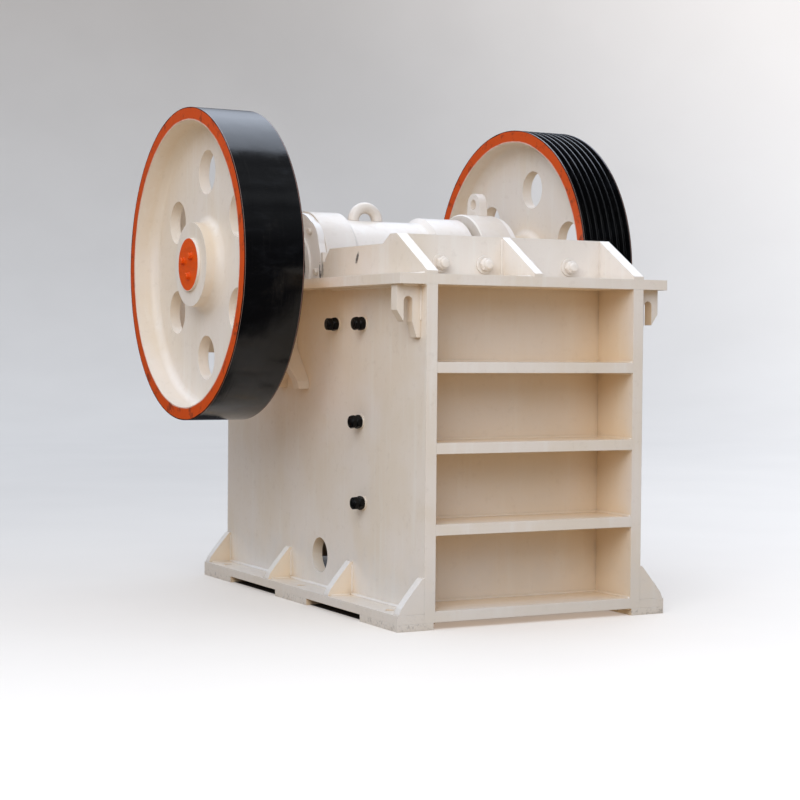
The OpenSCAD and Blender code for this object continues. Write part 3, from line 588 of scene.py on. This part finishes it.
# %% Colours
CREAM = light(234, 223, 210)
CREAM_WARM = light(230, 216, 197)
CREAM_PALE = light(240, 234, 223)
# Warm cream of the painted shade on sheltered faces.
CREAM_IN_SHADE = light(240, 210, 166)
# Paler cream that paints in light, used on the bearing covers.
CREAM_LIT = light(250, 243, 234)
PRIMER = light(96, 84, 74)
DUST = light(150, 128, 100)
DUST_PALE = light(214, 211, 206)
ORANGE = light(212, 78, 8)
ORANGE_DARK = light(118, 46, 18)
ORANGE_FACE = light(228, 84, 2)
BLACK = light(9, 9, 10)
MARK_DARK = light(52, 44, 40)
print("cream as light:", [round(v, 3) for v in CREAM[:3]])

# %% [markdown]
# ## Cream paint
# The frame is sprayed in one cream, and many marks are laid over it: paler where rain runs down,
# grey with dust near the ground and darker in corners. Warmer cream on sheltered faces, most of all
# under the flange, is painted shade, and paler edges are a painted highlight. Each of these is a
# mask from a shared group, laid over the cream one after the other.


# %% Colour of the cream paint
def paint_colour(tree, where, dirt_level=1.0, painted_shade=0.70, roofed=True):
    """Cream paint: blotches between two creams, darker in corners, chips on edges, a painted
    highlight along edges and a painted shade on sheltered faces. Where it is roofed, the painted
    shade falls only under the top flange. Returns the colour, the chip mask, the rounded normal and
    the tones."""
    tone = use(tree, uneven, Vector=where)
    wear_and_highlight = use(tree, edges, Vector=where)
    dust_and_shade = use(tree, dirt, Vector=where)
    colour = blend(tree, spread(tree, tone["Blotch"], 0.35, 0.68), CREAM, CREAM_WARM)
    colour = over(tree, colour, CREAM_PALE, spread(tree, tone["Runs"], 0.5, 0.75), 0.35)
    colour = over(tree, colour, DUST, spread(tree, tone["Fine"], 0.55, 0.75), 0.10)
    colour = over(tree, colour, DUST_PALE, dust_and_shade["Low"], 0.40 * dirt_level)
    # Painted shade: warmer cream on the sheltered faces.
    shade_share = calc(tree, "MULTIPLY", dust_and_shade["PaintedShade"], painted_shade)
    if roofed:
        height = split(tree, where)[2]
        shade_share = calc(tree, "MULTIPLY", shade_share, spread(tree, height, flange_z, flange_low_z))
    colour = blend(tree, shade_share, colour, CREAM_IN_SHADE)
    # Darker in the corners that the ambient occlusion node finds.
    colour = over(tree, colour, DUST, dust_and_shade["Corners"], 0.35 * dirt_level)
    # Painted highlight: paler cream along the edges.
    colour = over(tree, colour, CREAM_PALE, wear_and_highlight["Edge"], 0.35)
    colour = over(tree, colour, PRIMER, wear_and_highlight["Chips"], 0.75)
    return colour, wear_and_highlight["Chips"], wear_and_highlight["Normal"], tone


# %% Dark marks: scraped paint, slits and painted shade
def dark_mark(tree, where, mark):
    """Mask of one dark mark on a side face, such as scraped paint, a slit or a painted shade. The
    mark is (y, z, half width, half height, lean, strength) in metres: an ellipse whose middle line
    leans, with a border broken by noise."""
    y, z, half_w, half_h, lean, strength = mark
    place = split(tree, where)
    dz = calc(tree, "SUBTRACT", place[2], z)
    dy = calc(tree, "MULTIPLY_ADD", dz, -lean, calc(tree, "SUBTRACT", place[1], y))
    ragged = calc(tree, "MULTIPLY", noise(tree, where, 75.0, 3.0, 0.7), 1.6)
    away = calc(tree, "POWER", calc(tree, "ADD",
                calc(tree, "POWER", calc(tree, "DIVIDE", dy, half_w), 2.0),
                calc(tree, "POWER", calc(tree, "DIVIDE", dz, half_h), 2.0)), 0.5)
    mask = spread(tree, calc(tree, "ADD", away, ragged), 1.75, 1.25)
    return calc(tree, "MULTIPLY", mask, strength)


# %% Cream gloss paint
def cream_paint(name, grain=0.16, dirt_level=1.0, painted_shade=0.70, marks=(), lit_share=0.0, grime=0.0):
    """Gloss paint of the frame. A share of paler cream paints in light that the piece lacks, grime
    is the strength of trodden dirt, and marks are dark marks, among them scraped paint and a
    painted shade."""
    material, tree, shader, where = start_material(name)
    colour, chips, normal, tone = paint_colour(tree, where, dirt_level, painted_shade)
    # Painted light: a share of paler cream makes the piece look more lit.
    colour = blend(tree, lit_share, colour, CREAM_LIT)
    trodden = spread(tree, noise(tree, where, 48.0, 5.0, 0.75), 0.50, 0.68)
    colour = over(tree, colour, PRIMER, trodden, grime)
    # Dark marks, among them a painted shade on the bearing seat.
    for mark in marks:
        colour = blend(tree, dark_mark(tree, where, mark), colour, MARK_DARK)
    tree.links.new(colour, shader.inputs["Base Color"])
    rough = spread(tree, tone["Fine"], 0.3, 0.7, 0.30, 0.46)
    rough = calc(tree, "MAXIMUM", rough, calc(tree, "MULTIPLY", chips, 0.75))
    tree.links.new(rough, shader.inputs["Roughness"])
    covered = use(tree, skin_group, Vector=where, Normal=normal, Grain=grain)
    tree.links.new(covered["Normal"], shader.inputs["Normal"])
    shader.inputs["Specular IOR Level"].default_value = 0.5
    shader.inputs["Coat Weight"].default_value = 0.22
    shader.inputs["Coat Roughness"].default_value = 0.12
    return material


SLIT_Y = low("bearing_cover_left").y  # the dark slit between the cover and its seat
PLATE_SCRAPE = (-0.416, 1.585, 0.017, 0.032, -0.45, 0.9)
# Painted shade on the bearing seat, just in front of the cover's slit.
SEAT_SHADE = (SLIT_Y - 0.022, 1.545, 0.016, 0.050, 0.0, 0.5)
COVER_SLIT = (SLIT_Y + 0.008, 1.540, 0.008, 0.050, 0.0, 0.95)
cream = cream_paint("cream_paint")
cream_left = cream_paint("cream_paint_scraped", marks=(PLATE_SCRAPE,))
cream_seat = cream_paint("cream_paint_seat", marks=(SEAT_SHADE,))
cream_cast = cream_paint("cream_paint_cast", grain=0.6)
cream_feet = cream_paint("cream_paint_feet", grain=0.5, dirt_level=1.2, grime=0.42)
cream_base = cream_paint("cream_paint_base", grain=0.3, grime=0.06)
# The covers' paler cream is painted light, for the light that the flywheel keeps off them.
cream_cover = cream_paint("cream_paint_cover_lit", 0.4, 0.3, 0.0, lit_share=0.8, marks=(COVER_SLIT,))
print("cream paints:", [m.name for m in bpy.data.materials if m.name.startswith("cream")])

# %% [markdown]
# ## Painted wheels
# A wheel is one casting in three paints: cream on web and hub, orange on the rim's side faces,
# black gloss on its outside. A painter masks them by turning the wheel past the brush, so the zones
# are made the same way, from the distance to the shaft. Black paint on a turned rim shows the sky
# sharply, so most of its look is roughness and fine streaks around the rim, not colour.

# %% Zones of a wheel
FLY_WIDTH = 0.285
PULLEY_WIDTH = 0.271
PULLEY_INSET = 0.008  # how far the rim's side stands behind the hub's end
RIM_THICK = 0.060


def rim_sides(node):
    """Where the rim begins and ends along the shaft."""
    lo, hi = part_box(node)
    if node == "flywheel":
        return lo.x, lo.x + FLY_WIDTH
    return hi.x - PULLEY_INSET - PULLEY_WIDTH, hi.x - PULLEY_INSET


def wheel_zones(tree, where, place, node, black_depth):
    """Masks of the orange and the black zone, and the wandering distance from the shaft."""
    left, right = rim_sides(node)
    middle, half = (left + right) / 2, (right - left) / 2
    inside = wheel_r - RIM_THICK
    wander = calc(tree, "MULTIPLY_ADD", noise(tree, where, 9.0, 3.0, 0.6), 0.010, -0.005)
    out = calc(tree, "ADD", place["Radius"], wander)
    across = calc(tree, "ABSOLUTE", calc(tree, "SUBTRACT", place["Along"], middle))
    on_side = spread(tree, across, half - 0.006, half - 0.002)
    on_rim = spread(tree, calc(tree, "ADD", place["Radius"], calc(tree, "MULTIPLY", wander, 0.5)),
                    inside - 0.001, inside + 0.002)
    orange_mask = calc(tree, "MULTIPLY", on_side, on_rim)
    black_r = wheel_r - black_depth
    black_mask = calc(tree, "MULTIPLY", spread(tree, place["Radius"], black_r, black_r + 0.002),
                      calc(tree, "SUBTRACT", 1.0, orange_mask))
    overspray = calc(tree, "MULTIPLY", spread(tree, out, wheel_r - 0.007, wheel_r - 0.001),
                     orange_mask)
    return orange_mask, calc(tree, "MAXIMUM", black_mask, overspray), out


print("rim of the flywheel from x", [round(x, 3) for x in rim_sides("flywheel")])


# %% Orange ring and black rim
def ring_colour(tree, smudge, out):
    """Orange with dark smudges, thinned to cream along its inner border."""
    inside = wheel_r - RIM_THICK
    inner = spread(tree, out, inside + 0.007, inside + 0.004)
    return over(tree, over(tree, ORANGE, ORANGE_DARK, smudge, 0.75), CREAM_WARM, inner, 0.6)


def rim_colour(tree, where, dusty, streak):
    """Black with a breath of dust, pale streaks around the rim and scuffs along it. The pale
    streaks are a painted reflection of the sky in the turning marks.
    """
    black = over(tree, BLACK, light(120, 112, 100), dusty, 0.045)
    # Painted reflection: pale streaks around the rim.
    black = over(tree, black, light(150, 145, 135), spread(tree, streak, 0.6, 0.8), 0.03)
    scuff = noise(tree, stretch(tree, where, (5.0, 13.0, 13.0)), 1.0, 4.0, 0.65, 0.4)
    return over(tree, black, light(128, 132, 140), spread(tree, scuff, 0.50, 0.78), 0.03)


def choose(tree, mask, a, b):
    """Mix two numbers: a where the mask is 0, b where it is 1."""
    return add(tree, "ShaderNodeMix", {0: mask, 2: a, 3: b}, data_type="FLOAT").outputs[0]


print("helpers: ring_colour, rim_colour, choose")


# %% Paint of a wheel
def wheel_paint(name, node, black_depth):
    """Paint of a wheel by zones: black where the radius is within black_depth of the rim's
    outside, orange on the rim's side faces, cream on web and hub. Borders wander by a noise."""
    material, tree, shader, where = start_material(name)
    # The wheel's web and hub get the painted shade too, not held under the flange.
    colour, _, normal, tone = paint_colour(tree, where, 0.5, 0.55, roofed=False)
    place = use(tree, polar, Vector=where)
    orange_mask, black_mask, out = wheel_zones(tree, where, place, node, black_depth)
    smudge = spread(tree, noise(tree, where, 14.0, 5.0, 0.7), 0.52, 0.68)
    streak = noise(tree, place["Ring"], 3.0, 4.0, 0.6)
    dusty = spread(tree, noise(tree, where, 6.0, 5.0, 0.7), 0.52, 0.80)
    colour = blend(tree, orange_mask, colour, ring_colour(tree, smudge, out))
    colour = blend(tree, black_mask, colour, rim_colour(tree, where, dusty, streak))
    tree.links.new(colour, shader.inputs["Base Color"])
    rough_cream = spread(tree, tone["Fine"], 0.3, 0.7, 0.30, 0.46)
    rough_orange = calc(tree, "MULTIPLY_ADD", smudge, 0.15, 0.40)
    rough_black = calc(tree, "ADD", spread(tree, streak, 0.35, 0.75, 0.08, 0.15),
                       calc(tree, "MULTIPLY", dusty, 0.20))
    rough = choose(tree, orange_mask, rough_cream, rough_orange)
    tree.links.new(choose(tree, black_mask, rough, rough_black), shader.inputs["Roughness"])
    tree.links.new(calc(tree, "MULTIPLY", black_mask, 0.1), shader.inputs["Coat Weight"])
    covered = use(tree, skin_group, Vector=where, Normal=normal, Grain=0.18)
    turning = add(tree, "ShaderNodeBump", {"Height": streak, "Distance": 0.0006,
                                           "Strength": calc(tree, "MULTIPLY", black_mask, 0.35),
                                           "Normal": covered["Normal"]})
    tree.links.new(turning.outputs[0], shader.inputs["Normal"])
    shader.inputs["Coat Roughness"].default_value = 0.08
    shader.inputs["Specular IOR Level"].default_value = 0.35
    return material


fly_paint = wheel_paint("flywheel_paint", "flywheel", 0.004)
pulley_paint = wheel_paint("pulley_paint", "drive_pulley", 0.036)
print("wheel paints made, radius", round(wheel_r, 4))

# %% [markdown]
# ## Small finishes
# The shaft ends are brushed orange on their faces only. The side bolts are dipped in thick black.
# What rubs or crushes has no paint: turned steel with oil on it, a blackened spring, and cast
# manganese steel with rust in its pores. All take the shared groups at other strengths.


# %% Orange paint of the shaft ends
shaft_disc_r = (shaft_high.y - shaft_low.y) / 2


def orange_paint(name):
    """Orange face with a cream edge: the brush only reached what stands proud of the hub. The cream
    edge and the lighter orange along edges also paint in a highlight on the disc's rim.
    """
    material, tree, shader, where = start_material(name)
    tone = use(tree, uneven, Vector=where)
    wear_and_highlight = use(tree, edges, Vector=where, Radius=0.002)
    place = use(tree, polar, Vector=where)
    brushed = noise(tree, stretch(tree, where, (8.0, 8.0, 40.0)), 1.0, 4.0, 0.6)
    colour = over(tree, ORANGE_FACE, ORANGE_DARK, spread(tree, brushed, 0.48, 0.75), 0.20)
    # Painted highlight: lighter orange along the edges.
    colour = over(tree, colour, light(236, 138, 84), wear_and_highlight["Edge"], 0.3)
    # Cream on the disc's rim, which also paints in the highlight there.
    rim_cream_and_highlight = spread(tree, place["Radius"], shaft_disc_r - 0.003, shaft_disc_r - 0.001)
    colour = blend(tree, rim_cream_and_highlight, colour, CREAM)
    tree.links.new(colour, shader.inputs["Base Color"])
    tree.links.new(spread(tree, tone["Fine"], 0.3, 0.7, 0.35, 0.55), shader.inputs["Roughness"])
    covered = use(tree, skin_group, Vector=where, Normal=wear_and_highlight["Normal"], Grain=0.25)
    tree.links.new(covered["Normal"], shader.inputs["Normal"])
    shader.inputs["Specular IOR Level"].default_value = 0.3
    return material


orange = orange_paint("orange_paint")
print("orange disc radius", round(shaft_disc_r, 4))


# %% Black bolts
def black_paint(name):
    """Thick black dip on bolt heads, rubbed thin on the corners."""
    material, tree, shader, where = start_material(name)
    tone = use(tree, uneven, Vector=where)
    wear_and_highlight = use(tree, edges, Vector=where, Radius=0.0015)
    colour = blend(tree, spread(tree, tone["Fine"], 0.4, 0.8), light(2, 2, 2), light(12, 11, 10))
    colour = over(tree, colour, light(92, 84, 76), wear_and_highlight["Edge"], 0.12)
    tree.links.new(colour, shader.inputs["Base Color"])
    tree.links.new(spread(tree, tone["Fine"], 0.3, 0.7, 0.30, 0.5), shader.inputs["Roughness"])
    shader.inputs["Specular IOR Level"].default_value = 0.2
    covered = use(tree, skin_group, Vector=where, Normal=wear_and_highlight["Normal"], Grain=0.5)
    tree.links.new(covered["Normal"], shader.inputs["Normal"])
    return material


black_dip = black_paint("black_dip")
print("paint of the side bolts:", black_dip.name)


# %% Bare steel, oiled steel and cast manganese steel
def bare_metal(name, base, deep, rough_from, rough_to, grain, metallic, spots):
    """Metal between a base and a deeper colour, with darker spots where it is oily or rusty."""
    material, tree, shader, where = start_material(name)
    tone = use(tree, uneven, Vector=where)
    wear_and_highlight = use(tree, edges, Vector=where)
    colour = blend(tree, spread(tree, tone["Blotch"], 0.35, 0.65), base, deep)
    patch = spread(tree, noise(tree, where, 34.0, 5.0, 0.7), 0.50, 0.72)
    colour = over(tree, colour, spots, patch, 0.6)
    colour = over(tree, colour, light(190, 184, 176), wear_and_highlight["Edge"], 0.4)
    tree.links.new(colour, shader.inputs["Base Color"])
    rough = spread(tree, tone["Fine"], 0.3, 0.7, rough_from, rough_to)
    tree.links.new(calc(tree, "MAXIMUM", rough, calc(tree, "MULTIPLY", patch, 0.7)),
                   shader.inputs["Roughness"])
    covered = use(tree, skin_group, Vector=where, Normal=wear_and_highlight["Normal"], Grain=grain)
    tree.links.new(covered["Normal"], shader.inputs["Normal"])
    shader.inputs["Metallic"].default_value = metallic
    return material


steel = bare_metal("oiled_steel", light(150, 148, 146), light(112, 108, 104), 0.22, 0.42,
                   grain=0.25, metallic=1.0, spots=light(88, 66, 48))
manganese = bare_metal("cast_manganese", light(98, 90, 84), light(70, 62, 56), 0.45, 0.7,
                       grain=1.0, metallic=0.85, spots=light(104, 62, 38))
spring_steel = bare_metal("black_spring", light(34, 33, 33), light(22, 22, 22), 0.3, 0.5,
                          grain=0.4, metallic=0.4, spots=light(70, 50, 40))
print("materials:", len(bpy.data.materials))

# %% [markdown]
# ## Every piece gets its material
# Each piece of the model keeps its shape and takes a finish. Castings get coarser paint than rolled
# plate, the wheels their zones, and what rubs or crushes stays bare metal.

# %% Every piece gets its material
CASTINGS = ("bearing_housing_left", "bearing_housing_right", "moving_jaw", "toggle_plate",
            "toggle_block", "lifting_eye_left", "lifting_eye_right")
FINISH = {"bearing_cover_left": cream_cover, "bearing_cover_right": cream_cover,
          "foot_pads_left": cream_feet, "foot_pads_right": cream_feet,
          "base_flange_left": cream_base, "base_flange_right": cream_base,
          "bearing_seat_left": cream_seat, "left_side_plate": cream_left,
          "flywheel": fly_paint, "drive_pulley": pulley_paint,
          "shaft_end_left": orange, "shaft_end_right": orange, "eccentric_shaft": steel,
          "tension_rod": steel, "tension_spring": spring_steel, "fixed_jaw_plate": manganese,
          "moving_jaw_plate": manganese, "cheek_plate_left": manganese,
          "cheek_plate_right": manganese}
for name, obj in nodes.items():
    obj.data.materials.clear()
    obj.data.materials.append(FINISH.get(name, cream_cast if name in CASTINGS else cream))
ADDED = [(side_bolts, black_dip), (side_washers, cream), (wall_studs, cream_cast),
         (cover_bolts, cream_cast), (end_bolts, orange), (shelf_welds, cream),
         (flange_welds, cream), (hook_welds, cream)]
for obj, finish in ADDED:
    obj.data.materials.append(finish)
print("finished pieces:", len(nodes) + len(ADDED))

# %% [markdown]
# ## Floor
# A wide pale bowl is floor and backdrop in one: flat under the machine, then bending up all round,
# so no horizon line shows from any side. It glows a little more towards one side, a painted light
# like that on a studio wall beside a window. It is kept out of reflections and of the light on the
# machine, which come from the sky alone.

# %% Shape of the floor
def bowl(flat_radius, wall_height, bend_radius, points=96):
    """Surface of revolution: flat from the centre, a quarter bend, then a wall. The height at
    each arc follows the circle of the bend."""
    bend = np.linspace(0, math.pi / 2, 24)
    r = np.concatenate([[0.02, 1.0, flat_radius * 0.5], flat_radius + bend_radius * np.sin(bend)])
    z = np.concatenate([[0, 0, 0], bend_radius * (1 - np.cos(bend))])
    r, z = np.append(r, r[-1]), np.append(z, wall_height)
    angle = np.linspace(0, 2 * math.pi, points, endpoint=False)
    rings = np.stack([r[:, None] * np.cos(angle), r[:, None] * np.sin(angle),
                      z[:, None] + 0 * angle], -1)
    verts, faces = skin(rings)
    inward = [f[::-1] for f in faces[:-2]]
    return verts, inward + [faces[-2][::-1]]


def stage_piece(name, verts, faces):
    """An object of the stage, which stays out of the model."""
    mesh = bpy.data.meshes.new(name)
    mesh.from_pydata(verts, [], faces)
    mesh.shade_smooth()
    obj = bpy.data.objects.new(name, mesh)
    bpy.context.scene.collection.objects.link(obj)
    print(name, len(faces), "faces")
    return obj


# %% Floor of the studio
FLAT_R, WALL_TOP, BEND_R = 14.0, 13.0, 12.0
verts, faces = bowl(FLAT_R, WALL_TOP, BEND_R)
floor = stage_piece("floor", verts.tolist(), faces)
material, tree, shader, where = start_material("pale_floor")
cloud = noise(tree, where, 0.8, 3.0, 0.5)
tree.links.new(blend(tree, cloud, light(214, 205, 193), light(222, 213, 201)),
               shader.inputs["Base Color"])
x, y, z = split(tree, where)
# Painted light: the floor glows, brighter towards one side.
slant = calc(tree, "MULTIPLY_ADD", z, 1.2, calc(tree, "SUBTRACT", x, y))
NO_GLOW, FULL_GLOW = (0.0, 0.0, 0.0, 1.0), (0.50, 0.49, 0.49, 1.0)
glow = blend(tree, spread(tree, slant, -7.0, 11.0), NO_GLOW, FULL_GLOW)
tree.links.new(glow, shader.inputs["Emission Color"])
shader.inputs["Emission Strength"].default_value = 1.0
shader.inputs["Roughness"].default_value = 0.75
floor.data.materials.append(material)
floor.visible_diffuse = False
floor.visible_glossy = False

# %% [markdown]
# ## Ground under the machine
# No daylight comes up through the ground that the machine stands on, so a dark sheet lies there.
# Where it shows, between the feet and behind the machine, its dark colour is a painted shadow.
# Behind the machine it drifts away from the light and fades out like a soft shadow, by its Alpha.
# It is part of the stage, like the floor.

# %% Ground under the machine
SHEET_Z = 0.002
SHADOW = 1.45  # length of the shadow behind the machine
DRIFT = 0.40  # how far it goes sideways for each metre back
side_x, near_y, far_y = high("base_flange_right").x - 0.02, front_y + 0.20, back_y + SHADOW
outline = [(-side_x, near_y), (side_x, near_y), (side_x, back_y),
           (side_x + DRIFT * SHADOW, far_y), (-side_x, far_y)]
ground = stage_piece("ground", [(x, y, SHEET_Z) for x, y in outline], [range(len(outline))])
material, tree, shader, where = start_material("painted_shadow_ground")
# Painted shadow: the sheet's dark colour.
cloud = noise(tree, where, 6.0, 4.0, 0.6)
tree.links.new(blend(tree, cloud, light(24, 22, 20), light(44, 40, 36)),
               shader.inputs["Base Color"])
aside, away, _ = split(tree, where)
drift = spread(tree, away, back_y, far_y, 0.0, DRIFT * SHADOW, smooth=False)
aside = calc(tree, "ABSOLUTE", calc(tree, "SUBTRACT", aside, drift))
behind = spread(tree, away, back_y - 0.10, far_y - 0.02, 1.0, 0.0)
beside = spread(tree, aside, side_x - 0.50, side_x - 0.02, 1.0, 0.0)
under = spread(tree, away, back_y - 0.25, back_y - 0.10, 1.0, 0.0)
tree.links.new(calc(tree, "MULTIPLY", behind, calc(tree, "MAXIMUM", beside, under)),
               shader.inputs["Alpha"])
shader.inputs["Roughness"].default_value = 0.9
ground.data.materials.append(material)

# %% [markdown]
# ## Sky and light
# The machine stands outdoors in the light of a cloudy sky. For the light that falls on it, the sky
# is a function of the direction's height alone: white with a little blue overhead, a dim band at
# the horizon like the walls of a yard, and warm ground light from below. Mirrored in gloss paint,
# the yard's front is dark and its back is open, with a ragged skyline. The Light Path node tells
# the two apart. One big soft light hangs high on the left and gives the shapes their modelling.

# %% Sky that lights the machine
scene = bpy.context.scene
world = bpy.data.worlds.new("sky")
scene.world = world
world.use_nodes = True
tree = world.node_tree
back = tree.nodes["Background"]
direction = add(tree, "ShaderNodeTexCoord").outputs["Generated"]
_, ahead, rise = split(tree, direction)
ramp = add(tree, "ShaderNodeValToRGB", {0: calc(tree, "MULTIPLY_ADD", rise, 0.5, 0.5)})
# Each stop is a height, from 0 straight down to 1 straight up, and the light from there.
SKY_STOPS = [(0.00, (0.56, 0.44, 0.31)), (0.47, (0.42, 0.36, 0.29)), (0.50, (0.20, 0.19, 0.18)),
             (0.55, (0.28, 0.29, 0.32)), (0.64, (0.62, 0.72, 0.90)), (0.80, (0.88, 0.98, 1.17)),
             (1.00, (1.08, 1.21, 1.44))]
stops = ramp.color_ramp.elements
while len(stops) < len(SKY_STOPS):
    stops.new(0.5)
for stop, (place, colour) in zip(stops, SKY_STOPS):
    stop.position, stop.color = place, (*colour, 1.0)
print("sky stops:", len(stops))

# %% Sky that the gloss mirrors
OPEN_SKY = (2.40, 2.65, 3.10, 1.0)
YARD_DARK = (0.04, 0.04, 0.045, 1.0)
YARD_GREY = (0.42, 0.44, 0.47, 1.0)
ragged = noise(tree, direction, 7.0, 5.0, 0.7)
skyline = calc(tree, "MULTIPLY_ADD", ragged, 0.36, calc(tree, "MULTIPLY_ADD", rise, 0.3, ahead))
open_share = calc(tree, "MULTIPLY", spread(tree, skyline, 0.42, 0.51),
                  spread(tree, rise, 0.12, 0.95))
grey_share = calc(tree, "MULTIPLY", spread(tree, rise, 0.10, 0.75),
                  spread(tree, ragged, 0.35, 0.60))
mirrored = blend(tree, open_share, blend(tree, grey_share, YARD_DARK, YARD_GREY), OPEN_SKY)
glossy = add(tree, "ShaderNodeLightPath").outputs["Is Glossy Ray"]
tree.links.new(blend(tree, glossy, ramp.outputs[0], mirrored), back.inputs["Color"])
back.inputs["Strength"].default_value = 1.0
scene.view_settings.view_transform = "Standard"
print("sky nodes:", len(tree.nodes))


# %% Light
def area_light(name, place, target, size, power, colour):
    """Square soft light at place, pointing at target."""
    data = bpy.data.lights.new(name, "AREA")
    data.size, data.energy, data.color = size, power, colour
    obj = bpy.data.objects.new(name, data)
    obj.location = place
    aim = Vector(target) - Vector(place)
    obj.rotation_euler = aim.to_track_quat("-Z", "Y").to_euler()
    scene.collection.objects.link(obj)
    return obj


MACHINE_CENTRE = (0.0, 0.0, 1.1)
area_light("sky_left", (-5.0, -5.5, 5.0), MACHINE_CENTRE, 5.0, 308, (0.92, 0.95, 1.0))
print("view transform:", scene.view_settings.view_transform)

# %% [markdown]
# ## Camera
# The camera stands where the photographer stood. Its place and turn came from matching the edges
# of the frame and the wheels in the picture with the same edges of the model.

# %% Camera
YAW, PITCH, ROLL = (math.radians(v) for v in (27.896, -1.638, 0.474))
STAND = (-4.2445, -7.8192, 1.1889)
FOCAL_PX, IMAGE_PX = 1837.8, 800  # focal length measured in pixels of the 800 pixel wide picture
SENSOR_MM = 36
forward = Vector((math.sin(YAW) * math.cos(PITCH), math.cos(YAW) * math.cos(PITCH),
                  math.sin(PITCH)))
right = Vector((math.cos(YAW), -math.sin(YAW), 0.0))
upward = right.cross(forward)
right, upward = (right * math.cos(ROLL) + upward * math.sin(ROLL),
                 upward * math.cos(ROLL) - right * math.sin(ROLL))
lens = bpy.data.cameras.new("camera")
lens.lens = SENSOR_MM * FOCAL_PX / IMAGE_PX
lens.sensor_width = SENSOR_MM
camera = bpy.data.objects.new("camera", lens)
turn = Matrix((right, upward, -forward)).transposed().to_4x4()
camera.matrix_world = Matrix.Translation(STAND) @ turn
scene.collection.objects.link(camera)
scene.camera = camera
print("lens", round(lens.lens, 2), "mm")
